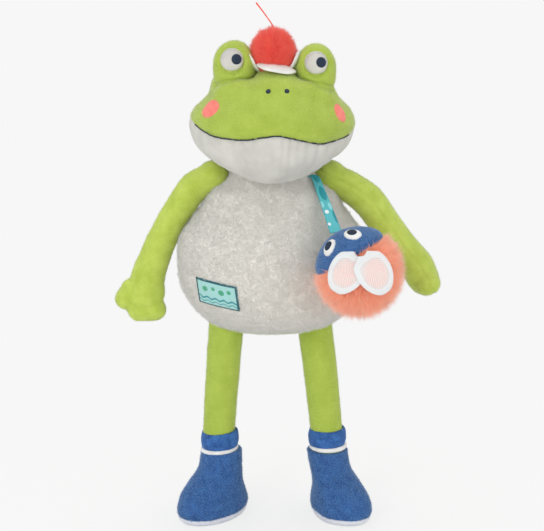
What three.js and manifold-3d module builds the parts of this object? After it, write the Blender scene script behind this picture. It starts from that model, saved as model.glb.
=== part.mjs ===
// A sewn plush frog in boots, about 35 cm tall, with a fluffy fly hanging from a ribbon.
// Millimetres, +Z up, the frog faces -Y, and its own left side is at +X.
import * as THREE from 'three';
import Module from 'manifold-3d';
import { mergeVertices } from 'three/addons/utils/BufferGeometryUtils.js';

const wasm = await Module();
wasm.setup();

// Fabric and sewing
const GAP = 0.3; // between pieces that touch
const SWING_GAP = 0.5; // round a limb's root, which turns in the body
const FLEECE = 2.5; // pile fabric of the body
const VELOUR = 1.6; // short velour of head and limbs
const TERRY = 2; // boot fabric
const FELT = 1.4; // petals
const TULLE = 1; // wings
const PATCH = 0.9; // what is sewn or stitched flat on a cover
const OVERRUN = 60; // how far a cutting solid passes what it cuts
const DEGREE = Math.PI / 180;
const blend = THREE.MathUtils.lerp;

// Boots and legs
const SOLE = { height: 5 };
const FOOT = { halfLength: 29, halfWidth: 19.5, forward: 10, toeOut: 40 * DEGREE };
const BOOT = { height: 47 };
const CUFF = { height: 11.5, radius: 13.4 };
const PIPING = { height: 2.6, radius: 13.1 };
const BAND_ROUND_SHARE = 0.4;
const LEG = {
  radius: 12, ankleRadius: 11, hipX: 31.5, ankleX: 38, hipHeight: 128, cornerRadius: 4, inBoot: 7,
  sway: 1.7,
};

// Body
const TORSO = {
  halfWidth: 65, halfDepth: 54, below: 54.5, above: 60, bottom: 135.5, neckCore: 22,
  lowerPower: 2.5, seamBack: 8, seamSlope: 0.3, seamFold: 146, seamUnder: 34,
};
const NECK = { radius: 27 };

// Arms, both as they hang: places are out from the shoulder and down from it
const ARM = { radius: 10, thickness: 9.4, root: 11.5, rootX: 40.5, rootDrop: 5.5, rootHole: 5 };
const HAND = { halfWidth: 15.5, thickness: 8.6, lobe: 8.2 };
const RIGHT_REACH = { out: 50.5, down: 89.5, roll: 0 };
const LEFT_REACH = { out: 64, down: 72.5, roll: 80 * DEGREE };

// Head and face, which leans a little to the frog's left
const HEAD = { halfWidth: 56.5, front: 66, back: 44, height: 71, chinDrop: 10.5 };
const CHIN_SEAM = { height: 34, rise: 11, back: 8 };
const MOUTH_LINE = { width: 1.5, endShare: 0.9 };
const EYE = {
  radius: 14, height: 16.5, depth: 15, x: 27.7, shift: 2.7, y: -18, roll: 1, lowerPower: 3.6,
};
const EYE_WHITE = { radius: 8.2, bulge: 3.4, seatShare: 0.93, shift: -1.4, above: 3.2 };
const PUPIL = { radius: 3.7, bulge: 1.6, seatShare: 0.7, shift: 3.2 };
const CHEEK = {
  halfWidth: 7.8, halfHeight: 6.6, height: 43.5, roll: 1.5, turn: 51 * DEGREE, yaw: 2 * DEGREE,
};
const NOSTRIL = { halfWidth: 1.9, halfHeight: 1.5, spacing: 12, x: 3.6, height: 57.3 };

// Flower on the crown; a petal's width is half across, and its turn is from the front
const BALL = { radius: 16.2, x: 0.7, y: -18, rise: 12 };
const PETAL = { from: 0.5, to: 1.55, lift: 11, fullShare: 1 };
const LEAF_ENDS = { startShare: 0.05, endShare: 0.9 };
const BRIM = {
  radius: 30, down: 38.5, ahead: 3, roll: 10 * DEGREE, from: 0.12, to: 0.62, halfWidth: 16.5, sector: 0.95,
};
const PETALS = [
  { name: 'left', turn: 87 * DEGREE, width: 9, sector: 0.5, open: 0 },
  { name: 'right', turn: -84 * DEGREE, width: 9, sector: 0.54, open: 0 },
  { name: 'back_left', turn: 148 * DEGREE, width: 9, sector: 0.52, open: 0.1 },
  { name: 'back_right', turn: -148 * DEGREE, width: 9, sector: 0.52, open: 0.1 },
];
const STEM = { radius: 0.7, length: 19, lean: 36 * DEGREE, bow: 0.5 };

// Label
const LABEL = { width: 27.5, height: 17.5, x: -36, z: 171, tilt: -0.17 };

// Ribbon and the fly that hangs on it
const RIBBON = {
  width: 8.5, thickness: 0.9, turn: 68 * DEGREE, below: 3.7, rootLength: 6, rise: 1, bow: 1.5,
};
const FLY = { radius: 28.5, x: 55.5, y: -69.5, z: 193.7, tilt: 31 * DEGREE, pitch: 9 * DEGREE };
const FLY_CAP = { thickness: 4, rise: 13.3 };
const FLUFF = { thickness: 4, slack: 0.9 };
const FLY_EYE = { halfWidth: 5, halfHeight: 6.6, bulge: 2.4, spacing: 17, shift: 2, ahead: 13.5 };
const FLY_PUPIL = { radius: 2.9, bulge: 1.2, seatShare: 0.6 };
const WING = {
  length: 26.5, halfWidth: 13, spread: 36 * DEGREE, lift: 3, rootX: 7.5, rootRise: 10,
  startShare: 0.25, sectorShare: 0.96, outerSector: 60 * DEGREE, fullShare: 1,
};

// Facets
const ROUND = 24; // torso, head and fly
const LIMB = 14; // arms and legs
const POD = 18; // eye mounds
const SMALL = 12; // eyes, cheeks and other small round pieces

// Heights that follow from the sizes above
const BELLY_Z = TORSO.bottom + TORSO.below;
const NECK_Z = BELLY_Z + TORSO.above;
const ROOT_Z = NECK_Z - ARM.rootDrop;
const CROWN_Z = NECK_Z + HEAD.height;

// Colours, from the photograph
const GREEN = { color: 0xb4cc52, roughness: 0.85 };
const CREAM = { color: 0xd9d7cd, roughness: 0.95 };
const WHITE = { color: 0xe6e6e4, roughness: 0.9 };
const FILLING = { color: 0xf2f0ea, roughness: 1 };
const NAVY = { color: 0x17305a, roughness: 0.7 };
const CORAL = { color: 0xf07f76, roughness: 0.85 };
const RED = { color: 0xea5b4a, roughness: 0.95 };
const BLUE = { color: 0x3c6fae, roughness: 0.95 };
const ORANGE = { color: 0xf0906c, roughness: 1 };
const AQUA = { color: 0x62bcc4, roughness: 0.6 };
const TEAL = { color: 0x8fcbc8, roughness: 0.8 };

const model = new THREE.Group();

// Solids

function toSolid(geometry) {
  const bare = new THREE.BufferGeometry();
  bare.setAttribute('position', geometry.getAttribute('position').clone());
  if (geometry.index) bare.setIndex(geometry.index.clone());
  const merged = mergeVertices(bare);
  const vertProperties = new Float32Array(merged.getAttribute('position').array);
  const triVerts = new Uint32Array(merged.index.array);
  if (signedVolume(vertProperties, triVerts) < 0) triVerts.reverse();
  return new wasm.Manifold(new wasm.Mesh({ numProp: 3, vertProperties, triVerts }));
}

// Six times the volume inside the faces, negative where they point inwards
function signedVolume(places, faces) {
  const corner = (i) => new THREE.Vector3().fromArray(places, 3 * faces[i]);
  let sum = 0;
  for (let i = 0; i < faces.length; i += 3) sum += corner(i).dot(corner(i + 1).cross(corner(i + 2)));
  return sum;
}

function place(name, solid, finish, parent = model) {
  const { vertProperties, triVerts } = solid.getMesh();
  const geometry = new THREE.BufferGeometry();
  geometry.setAttribute('position', new THREE.BufferAttribute(vertProperties, 3));
  geometry.setIndex(new THREE.BufferAttribute(triVerts, 1));
  geometry.computeVertexNormals();
  const material = new THREE.MeshStandardMaterial({ ...finish, metalness: 0 });
  const mesh = new THREE.Mesh(geometry, material);
  mesh.name = name;
  parent.add(mesh);
  return mesh;
}

// A closed skin over rings of points, with the ends fanned to the middle of the end rings
function loft(rings) {
  const sides = rings[0].length;
  const points = rings.flat();
  const middle = (ring) => ring.reduce((sum, p) => sum.add(p), new THREE.Vector3())
    .divideScalar(sides);
  const first = points.push(middle(rings[0])) - 1;
  const last = points.push(middle(rings.at(-1))) - 1;
  const faces = [];
  for (let k = 0; k < sides; k += 1) {
    const next = (k + 1) % sides;
    faces.push(first, next, k);
    faces.push(last, (rings.length - 1) * sides + k, (rings.length - 1) * sides + next);
    for (let i = 0; i + 1 < rings.length; i += 1) {
      const a = i * sides;
      const b = a + sides;
      faces.push(a + k, a + next, b + k, a + next, b + next, b + k);
    }
  }
  const geometry = new THREE.BufferGeometry().setFromPoints(points);
  geometry.setIndex(faces);
  return toSolid(geometry);
}

// The main piece of a cut solid, without its offcuts
function largest(solid) {
  return solid.decompose().sort((a, b) => b.volume() - a.volume())[0];
}

function moved(geometry, x, y, z) {
  return toSolid(geometry.translate(x, y, z));
}

function ball(radius, x, y, z, sides = ROUND) {
  return moved(new THREE.SphereGeometry(radius, sides, sides / 2), x, y, z);
}

function egg(rx, ry, rz, x, y, z, sides = SMALL) {
  const sphere = new THREE.SphereGeometry(1, sides, sides / 2);
  return moved(sphere.scale(rx, ry, rz), x, y, z);
}

// An outline in the front plane, x across and z up, made into a bar between two depths
function frontBar(outline, from, to) {
  const shape = new THREE.Shape(outline);
  const bar = new THREE.ExtrudeGeometry(shape, { depth: to - from, bevelEnabled: false });
  return toSolid(bar.rotateX(Math.PI / 2).translate(0, to, 0));
}

function ellipse(halfWidth, halfHeight, x, z, sides = POD) {
  const step = 2 * Math.PI / sides;
  return Array.from({ length: sides }, (_, k) => new THREE.Vector2(
    x + halfWidth * Math.cos(k * step), z + halfHeight * Math.sin(k * step)));
}

// A level ring that is an ellipse with its own depth in front and behind, dipping at the front
function levelRing(z, halfWidth, front, back, dip = 0, sides = ROUND) {
  return Array.from({ length: sides }, (_, k) => {
    const turn = (2 * Math.PI * k) / sides;
    const ahead = Math.cos(turn);
    const depth = ahead > 0 ? front : back;
    const drop = ahead > 0 ? dip * ahead * ahead : 0;
    return new THREE.Vector3(halfWidth * Math.sin(turn), -depth * ahead, z - drop);
  });
}

// Body

const WAIST_SHARES = { middle: 0.57, power: 3.44 };
const LOWER_SHARES = [0.2, 0.42, 0.64, 0.84, 1];
const UPPER_SHARES = [0.14, 0.28, 0.44, 0.62, 0.8];

function upperShare(rise) {
  return 1 / (1 + (rise / WAIST_SHARES.middle) ** WAIST_SHARES.power);
}

function torsoForm(grow, top = NECK_Z) {
  const width = TORSO.halfWidth + grow;
  const depth = TORSO.halfDepth + grow;
  const core = TORSO.neckCore + grow;
  const low = TORSO.below + grow;
  const rings = LOWER_SHARES.map((share) => {
    const turn = (1 - share) * Math.PI / 2;
    const out = Math.cos(turn) ** (2 / TORSO.lowerPower);
    const down = Math.sin(turn) ** (2 / TORSO.lowerPower);
    return levelRing(BELLY_Z - low * down, width * out, depth * out, depth * out);
  });
  for (const rise of [...UPPER_SHARES, 1]) {
    const share = upperShare(rise);
    const across = core + (width - core) * share;
    const along = across * blend(1, depth / width, share);
    rings.push(levelRing(BELLY_Z + TORSO.above * rise, across, along, along));
  }
  if (top > NECK_Z) rings.push(rings.at(-1).map((p) => p.clone().setZ(top)));
  return loft(rings);
}

// What lies in front of the seam, which leans back towards the neck and turns forward under the belly
function bodyFront(grow) {
  const seam = (z) => TORSO.seamBack + (z - BELLY_Z) * TORSO.seamSlope + grow;
  const low = TORSO.bottom - OVERRUN;
  const high = NECK_Z + OVERRUN;
  const ahead = -TORSO.halfDepth - OVERRUN;
  const under = grow - TORSO.seamUnder;
  return sideBar([[ahead, low], [under, low], [under, TORSO.bottom], [seam(TORSO.seamFold), TORSO.seamFold],
    [seam(high), high], [ahead, high]].map(([y, z]) => new THREE.Vector2(y, z)),
  TORSO.halfWidth + OVERRUN);
}

// An outline in the side plane, y along and z up, made into a bar across the whole width
function sideBar(outline, halfWidth) {
  const shape = new THREE.Shape(outline);
  const bar = new THREE.ExtrudeGeometry(shape, { depth: 2 * halfWidth, bevelEnabled: false });
  bar.rotateY(Math.PI / 2).rotateX(Math.PI / 2);
  return toSolid(bar.translate(-halfWidth, 0, 0));
}

// A roller on the hip's axis with rounded rims, the root on which a leg swings
function hipRoller(side, grow) {
  const reach = LEG.radius + grow;
  const corner = LEG.cornerRadius;
  const rim = (turn) => [reach - corner + corner * Math.sin(turn), reach - corner + corner * Math.cos(turn)];
  const turns = [0, 1, 2].map((k) => (k * Math.PI) / 4);
  const half = turns.map((turn) => rim(turn));
  const profile = [[0, reach], ...half, ...half.slice().reverse().map(([r, x]) => [r, -x]), [0, -reach]];
  const lathe = new THREE.LatheGeometry(profile.map(([r, x]) => new THREE.Vector2(r, x)), LIMB + 2);
  return moved(lathe.rotateZ(Math.PI / 2), side * LEG.hipX, 0, LEG.hipHeight);
}

function limbRoots(grow) {
  const roots = [-1, 1].flatMap((side) => [
    ball(ARM.root + grow, side * ARM.rootX, 0, ROOT_Z, LIMB),
    hipRoller(side, grow),
  ]);
  return roots[0].add(roots[1]).add(roots[2]).add(roots[3]);
}

function makeTorso() {
  const roots = limbRoots(SWING_GAP);
  const cover = torsoForm(0).subtract(torsoForm(-FLEECE, NECK_Z + OVERRUN)).subtract(roots);
  place('torso_front', cover.intersect(bodyFront(0)), CREAM);
  place('torso_back', cover.subtract(bodyFront(GAP)), GREEN);
  place('torso_stuffing', torsoForm(-FLEECE - GAP).subtract(roots), FILLING);
}

function makeLabel() {
  const layer = torsoForm(GAP + PATCH).subtract(torsoForm(GAP));
  const [w, h] = [LABEL.width / 2, LABEL.height / 2];
  const corners = [[-w, -h], [w, -h], [w, h], [-w, h]].map(([x, z]) => new THREE.Vector2(x, z)
    .rotateAround(new THREE.Vector2(), LABEL.tilt)
    .add(new THREE.Vector2(LABEL.x, LABEL.z)));
  const bar = frontBar(corners, -TORSO.halfDepth - OVERRUN, 0);
  place('label', layer.intersect(bar), TEAL);
}

// Arms

// Places from the shoulder to the middle of the hand, as shares of the arm's reach out and down
const BENT_SHARES = [
  [0, 0], [0.256, 0.08], [0.427, 0.205], [0.5625, 0.32], [0.671, 0.44], [0.8, 0.6], [0.92, 0.79], [1, 1],
];
const STRAIGHT_SHARES = [
  [0, 0], [0.22, 0.115], [0.402, 0.254], [0.526, 0.402], [0.65, 0.56], [0.785, 0.719], [0.925, 0.87], [1, 1],
];
const ARM_WIDTH_SHARES = [1.05, 1.08, 1.04, 1.01, 1.01, 1.04, 1.1, 1.22, 1.2];
const ARM_DEPTH_SHARES = [1.05, 1.06, 1.04, 1, 1, 1.02, 1.06, 1.08, 0.98];
const LOBE_SHARES = [
  { across: -0.58, along: 0.17 }, { across: -0.03, along: 0.25 }, { across: 0.76, along: -0.08 },
];

function armLine(side, reach, shares) {
  return new THREE.CatmullRomCurve3(shares.map(([out, down]) => new THREE.Vector3(
    side * (ARM.rootX + out * reach.out), 0, ROOT_Z - down * reach.down)));
}

// An arm whose hand spreads in the plane of the body, or is rolled towards the front
function armForm(side, reach, shares, grow, plain = false) {
  const line = armLine(side, reach, shares);
  const last = ARM_WIDTH_SHARES.length - 1;
  const rings = ARM_WIDTH_SHARES.map((widthShare, i) => {
    const width = ARM.radius * widthShare + grow;
    const depth = ARM.thickness * ARM_DEPTH_SHARES[i] + grow;
    const { centre, along, across, out } = armFrame(line, i / last, side, reach.roll);
    const back = i === last ? grow : 0;
    return Array.from({ length: LIMB }, (_, k) => {
      const turn = (2 * Math.PI * k) / LIMB;
      return centre.clone().addScaledVector(along, back)
        .addScaledVector(across, width * Math.cos(turn))
        .addScaledVector(out, depth * Math.sin(turn));
    });
  });
  if (plain) return loft(rings);
  let arm = loft(rings).add(ball(ARM.root + grow, side * ARM.rootX, 0, ROOT_Z, LIMB));
  for (const lobe of LOBE_SHARES) arm = arm.add(handLobe(line, side, reach.roll, lobe, grow));
  return arm;
}

function armFrame(line, share, side, roll) {
  const along = line.getTangentAt(share);
  const level = new THREE.Vector3(0, 1, 0);
  const across = level.cross(along).normalize().applyAxisAngle(along, side * roll);
  return { centre: line.getPointAt(share), along, across, out: along.clone().cross(across) };
}

function handLobe(line, side, roll, lobe, grow) {
  const { centre, along, across, out } = armFrame(line, 1, side, roll);
  const radius = HAND.lobe + grow;
  const geometry = new THREE.SphereGeometry(radius, SMALL, SMALL / 2);
  geometry.scale(1, 1, (HAND.thickness + grow) / radius);
  const turn = new THREE.Matrix4().makeBasis(across, along, out);
  if (turn.determinant() < 0) turn.makeBasis(across, along, out.clone().negate());
  geometry.applyMatrix4(turn);
  const spot = centre.addScaledVector(across, lobe.across * HAND.halfWidth)
    .addScaledVector(along, lobe.along * HAND.halfWidth);
  return moved(geometry, spot.x, spot.y, spot.z);
}

function makeArm(name, side, reach, shares) {
  const outer = armForm(side, reach, shares, 0);
  const inner = armForm(side, reach, shares, -VELOUR, true);
  const hole = new THREE.CylinderGeometry(ARM.rootHole, ARM.rootHole, 2 * ARM.root, LIMB);
  const seamEnd = moved(hole.rotateZ(Math.PI / 2), side * (ARM.rootX - ARM.root + 2 * VELOUR), 0, ROOT_Z);
  place(`${name}_cover`, outer.subtract(inner).subtract(seamEnd), GREEN);
  place(`${name}_stuffing`, armForm(side, reach, shares, -VELOUR - GAP, true), FILLING);
}

// Legs

// Where the middle of a leg lies at a height; both ankles stand a little to the frog's left
function legX(side, z) {
  const low = BOOT.height - LEG.inBoot;
  return blend(side * LEG.hipX, side * LEG.ankleX + LEG.sway, (LEG.hipHeight - z) / (LEG.hipHeight - low));
}

function legForm(side, grow, bottom) {
  const middle = (bottom + LEG.hipHeight) / 2;
  const rings = [[bottom, LEG.ankleRadius], [middle, (LEG.ankleRadius + LEG.radius) / 2],
    [LEG.hipHeight, LEG.radius]].map(([z, radius]) => levelRing(
    z, radius + grow, radius + grow, radius + grow, 0, LIMB).map((p) => p.setX(p.x + legX(side, z))));
  return loft(rings).add(hipRoller(side, grow));
}

function makeLeg(name, side) {
  const end = BOOT.height - LEG.inBoot;
  const outer = legForm(side, 0, end);
  const inner = legForm(side, -VELOUR, end - LEG.inBoot);
  place(`${name}_cover`, outer.subtract(inner), GREEN);
  place(`${name}_stuffing`, legForm(side, -VELOUR - GAP, end), FILLING);
}

// Boots

// Height, half length, half width and place forward, each as a share of its own size
const BOOT_SHARES = [
  [0.11, 1, 1, 1], [0.2, 1.03, 1.03, 1], [0.36, 0.94, 0.97, 0.97], [0.52, 0.74, 0.89, 0.66],
  [0.68, 0.57, 0.79, 0.24], [0.83, 0.52, 0.74, 0.06], [1, 0.49, 0.71, 0],
];
const SOLE_SHARES = [[0, 0.86], [0.2, 0.95], [0.6, 1.01], [1, 1]];

function footRing(side, z, halfLength, halfWidth, forward) {
  const ankle = side * LEG.ankleX + LEG.sway;
  return levelRing(z, halfWidth, halfLength, halfLength, 0, LIMB + 2).map((p) => {
    p.setY(p.y - forward);
    p.applyAxisAngle(new THREE.Vector3(0, 0, 1), side * FOOT.toeOut);
    return p.setX(p.x + ankle);
  });
}

function bootForm(side, grow, low, high) {
  const rings = BOOT_SHARES.map(([rise, length, width, forward]) => footRing(
    side, rise * BOOT.height, length * FOOT.halfLength + grow, width * FOOT.halfWidth + grow,
    forward * FOOT.forward));
  if (low) rings.unshift(rings[0].map((p) => p.clone().setZ(low)));
  if (high) rings.push(rings.at(-1).map((p) => p.clone().setZ(high)));
  return loft(rings);
}

// A soft band round the leg, clear of it all the way up although the leg leans
function legBand(side, outer, low, high) {
  const inner = LEG.ankleRadius + 2 * GAP + Math.abs(legX(side, low) - legX(side, high)) / 2;
  const round = BAND_ROUND_SHARE * Math.min(high - low, outer - inner);
  const profile = [[inner, low], [outer - round, low], [outer, low + round], [outer, high - round],
    [outer - round, high], [inner, high], [inner, low]];
  const points = profile.map(([r, z]) => new THREE.Vector2(r, z));
  const lathe = new THREE.LatheGeometry(points, LIMB + 2);
  return moved(lathe.rotateX(Math.PI / 2), legX(side, (low + high) / 2), 0, 0);
}

function makeBoot(name, side) {
  const leg = legForm(side, GAP, BOOT.height - LEG.inBoot - GAP);
  const inner = bootForm(side, -TERRY, -OVERRUN, BOOT.height + OVERRUN);
  place(`${name}_upper`, bootForm(side, 0).subtract(inner), BLUE);
  place(`${name}_stuffing`, bootForm(side, -TERRY - GAP).subtract(leg), FILLING);
  place(`${name}_sole`, loft(SOLE_SHARES.map(([rise, share]) => footRing(side, rise * SOLE.height,
    share * FOOT.halfLength, share * FOOT.halfWidth, FOOT.forward))), WHITE);
  const piping = BOOT.height + GAP;
  const cuff = piping + PIPING.height + GAP;
  place(`${name}_piping`, legBand(side, PIPING.radius, piping, piping + PIPING.height), WHITE);
  place(`${name}_cuff`, legBand(side, CUFF.radius, cuff, cuff + CUFF.height), BLUE);
}

// Head

// Height, half width, depth in front, depth behind and dip at the front, as shares of their sizes
const HEAD_SHARES = [
  [0.092, 0.64, 0.667, 0.77, 1], [0.155, 0.8, 0.82, 0.86, 0.95], [0.24, 0.92, 0.925, 0.93, 0.67],
  [0.352, 0.982, 0.985, 0.99, 0.29], [0.465, 1, 1, 1, 0], [0.577, 0.945, 0.945, 0.99, 0],
  [0.66, 0.84, 0.875, 0.955, 0], [0.735, 0.755, 0.8, 0.9, 0], [0.86, 0.71, 0.68, 0.773, 0],
  [0.93, 0.62, 0.56, 0.63, 0], [0.98, 0.4, 0.36, 0.41, 0],
];
const MOUTH_SHARES = [
  [-1.04, 1.4], [-0.87, 0.86], [-0.71, 0.49], [-0.555, 0.37], [-0.31, 0.36], [-0.12, 0.52], [0.06, 0.63],
  [0.18, 0.52], [0.31, 0.355], [0.54, 0.06], [0.69, 0.09], [0.9, 0.31], [1.04, 0.8],
];

function headForm(grow, below = 0) {
  const base = NECK_Z + GAP;
  const rings = HEAD_SHARES.map(([rise, width, front, back, dip]) => levelRing(
    base + rise * HEAD.height + grow * (2 * rise - 1),
    width * HEAD.halfWidth + grow, front * HEAD.front + grow, back * HEAD.back + grow, dip * HEAD.chinDrop));
  const neck = NECK.radius + grow;
  rings.unshift(levelRing(base - below, neck, neck, neck));
  return loft(rings);
}

function mouthCurve() {
  return new THREE.SplineCurve(MOUTH_SHARES.map(([x, rise]) => new THREE.Vector2(
    x * HEAD.halfWidth, NECK_Z + CHIN_SEAM.height - CHIN_SEAM.rise * (1 - rise) + GAP)));
}

// All that lies under the mouth seam, in front of the side seam of the head
function chinRoom(grow) {
  const seam = mouthCurve().getPoints(ROUND).map((p) => p.setY(p.y + grow));
  const [left, right] = [seam[0].x - OVERRUN, seam.at(-1).x + OVERRUN];
  const low = NECK_Z - OVERRUN;
  const outline = [new THREE.Vector2(left, seam[0].y), ...seam, new THREE.Vector2(right, seam.at(-1).y),
    new THREE.Vector2(right, low), new THREE.Vector2(left, low)];
  return frontBar(outline, -HEAD.front - OVERRUN, CHIN_SEAM.back + grow);
}

// A thin layer on a form, cut by a bar, for what is sewn flat on a cover
function onHead(bar) {
  return headForm(GAP + PATCH).subtract(headForm(GAP)).intersect(bar);
}

function turnedBar(outline, turn) {
  const shape = new THREE.Shape(outline);
  const bar = new THREE.ExtrudeGeometry(shape, { depth: HEAD.front + OVERRUN, bevelEnabled: false });
  return toSolid(bar.rotateX(Math.PI / 2).rotateZ(turn));
}

function mouthStitch() {
  const half = MOUTH_LINE.width / 2;
  const seam = mouthCurve().getPoints(ROUND)
    .filter((p) => Math.abs(p.x) < MOUTH_LINE.endShare * HEAD.halfWidth);
  const over = seam.map((p) => new THREE.Vector2(p.x, p.y + half + GAP / 2));
  const under = seam.map((p) => new THREE.Vector2(p.x, p.y - half + GAP / 2)).reverse();
  return onHead(frontBar([...over, ...under], -HEAD.front - OVERRUN, 0));
}

function makeHead() {
  const shell = headForm(0).subtract(headForm(-VELOUR, OVERRUN));
  place('head_chin', shell.intersect(chinRoom(0)), WHITE);
  place('head_crown', shell.subtract(chinRoom(GAP)), GREEN);
  place('head_stuffing', headForm(-VELOUR - GAP), FILLING);
  place('mouth_stitch', mouthStitch(), NAVY);
}

// The mound round an eye, with fuller sides in its lower half
function eyePod(side, grow) {
  const tilts = Array.from({ length: POD / 2 - 1 }, (_, k) => (2 * (k + 1) / POD - 0.5) * Math.PI);
  return loft(tilts.map((tilt) => {
    const power = tilt < 0 ? 2 / EYE.lowerPower : 1;
    const [out, up] = [Math.cos(tilt) ** power, Math.sign(tilt) * Math.abs(Math.sin(tilt)) ** power];
    const ring = levelRing(CROWN_Z - side * EYE.roll + up * (EYE.height + grow),
      out * (EYE.radius + grow), out * (EYE.depth + grow), out * (EYE.depth + grow), 0, POD);
    return ring.map((p) => p.setX(p.x + EYE.shift + side * EYE.x).setY(p.y + EYE.y));
  }));
}

function makeFace() {
  const crown = headForm(GAP);
  const flower = flowerBall(FELT + 2 * GAP);
  for (const [name, side] of [['right', -1], ['left', 1]]) {
    const x = EYE.shift + side * EYE.x;
    const z = CROWN_Z - side * EYE.roll;
    const front = EYE.y - EYE.depth * EYE_WHITE.seatShare;
    const whiteX = x + EYE_WHITE.shift;
    const whiteZ = z + EYE_WHITE.above;
    const white = (grow) => egg(EYE_WHITE.radius + grow, EYE_WHITE.bulge + grow, EYE_WHITE.radius + grow,
      whiteX, front, whiteZ);
    const pupil = (grow) => egg(PUPIL.radius + grow, PUPIL.bulge + grow, PUPIL.radius + grow,
      whiteX + PUPIL.shift, front - EYE_WHITE.bulge * PUPIL.seatShare, whiteZ);
    const pod = eyePod(side, 0);
    place(`eye_mound_${name}`, pod.subtract(crown).subtract(white(GAP)).subtract(flower), GREEN);
    place(`eye_white_${name}`, white(0).subtract(pupil(GAP)), WHITE);
    place(`pupil_${name}`, pupil(0), NAVY);
    const cheek = ellipse(CHEEK.halfWidth, CHEEK.halfHeight, 0, NECK_Z + CHEEK.height - side * CHEEK.roll);
    place(`cheek_${name}`, onHead(turnedBar(cheek, side * CHEEK.turn + CHEEK.yaw)), CORAL);
    const nostril = ellipse(NOSTRIL.halfWidth, NOSTRIL.halfHeight,
      NOSTRIL.x + side * NOSTRIL.spacing / 2, NECK_Z + NOSTRIL.height, SMALL);
    place(`nostril_${name}`, onHead(frontBar(nostril, -HEAD.front - OVERRUN, 0)), NAVY);
  }
}

// Flower

// A thin sheet that follows a ball: it starts near a pole of the ball and runs towards one side
function leaf({
  centre, radius, pole, toward, from, to, halfWidth, sectors, thickness, lift, fullShare,
}) {
  const side = pole.clone().cross(toward).normalize();
  const [steps, across] = [6, 4];
  const grids = [0, thickness].map((outward) => {
    const grid = [];
    for (let i = 0; i <= steps; i += 1) {
      const share = i / steps;
      const tilt = blend(from, to, share);
      const width = halfWidth * Math.sin(Math.PI * blend(LEAF_ENDS.startShare, LEAF_ENDS.endShare,
        share ** fullShare));
      const reach = radius + outward + lift * share * share;
      for (let j = 0; j <= across; j += 1) {
        const aside = (2 * j) / across - 1;
        const limit = sectors[aside < 0 ? 0 : 1];
        const spread = aside * Math.min(width / (reach * Math.sin(tilt)), limit);
        const level = toward.clone().multiplyScalar(Math.cos(spread))
          .addScaledVector(side, Math.sin(spread));
        grid.push(centre.clone().addScaledVector(pole, reach * Math.cos(tilt))
          .addScaledVector(level, reach * Math.sin(tilt)));
      }
    }
    return grid;
  });
  return closedSheet(grids, steps, across);
}

// Two grids of points, one over the other, closed round their edge
function closedSheet([under, over], steps, across) {
  const row = across + 1;
  const points = [...under, ...over];
  const faces = [];
  const quad = (a, b, c, d) => faces.push(a, b, c, a, c, d);
  for (let i = 0; i < steps; i += 1) {
    for (let j = 0; j < across; j += 1) {
      const [a, b] = [i * row + j, (i + 1) * row + j];
      quad(a, b, b + 1, a + 1);
      quad(a + under.length, a + 1 + under.length, b + 1 + under.length, b + under.length);
    }
  }
  const edge = [];
  for (let j = 0; j < across; j += 1) edge.push(j);
  for (let i = 0; i < steps; i += 1) edge.push(i * row + across);
  for (let j = across; j > 0; j -= 1) edge.push(steps * row + j);
  for (let i = steps; i > 0; i -= 1) edge.push(i * row);
  edge.forEach((a, k) => {
    const b = edge[(k + 1) % edge.length];
    quad(a, b, b + under.length, a + under.length);
  });
  const geometry = new THREE.BufferGeometry().setFromPoints(points);
  geometry.setIndex(faces);
  return toSolid(geometry);
}

function tube(points, radii, sides = SMALL / 2) {
  const curve = new THREE.CatmullRomCurve3(points);
  const rings = radii.map((radius, i) => {
    const share = i / (radii.length - 1);
    const along = curve.getTangent(share);
    const across = new THREE.Vector3(0, 1, 0).cross(along).normalize();
    const out = along.clone().cross(across);
    return Array.from({ length: sides }, (_, k) => {
      const turn = (2 * Math.PI * k) / sides;
      return curve.getPoint(share).addScaledVector(across, radius * Math.cos(turn))
        .addScaledVector(out, radius * Math.sin(turn));
    });
  });
  return loft(rings);
}

function flowerBall(grow) {
  return ball(BALL.radius + grow, BALL.x, BALL.y, CROWN_Z + BALL.rise, POD);
}

// The front petal droops like the brim of a cap, so it follows a larger ball below the flower
function brimPetal() {
  return leaf({
    centre: new THREE.Vector3(BALL.x, BALL.y - BRIM.ahead, CROWN_Z + BALL.rise - BRIM.down),
    radius: BRIM.radius, pole: new THREE.Vector3(Math.sin(BRIM.roll), 0, Math.cos(BRIM.roll)),
    toward: new THREE.Vector3(0, -1, 0), from: BRIM.from, to: BRIM.to, halfWidth: BRIM.halfWidth,
    sectors: [BRIM.sector, BRIM.sector], thickness: FELT, lift: 0, fullShare: PETAL.fullShare,
  });
}

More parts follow.
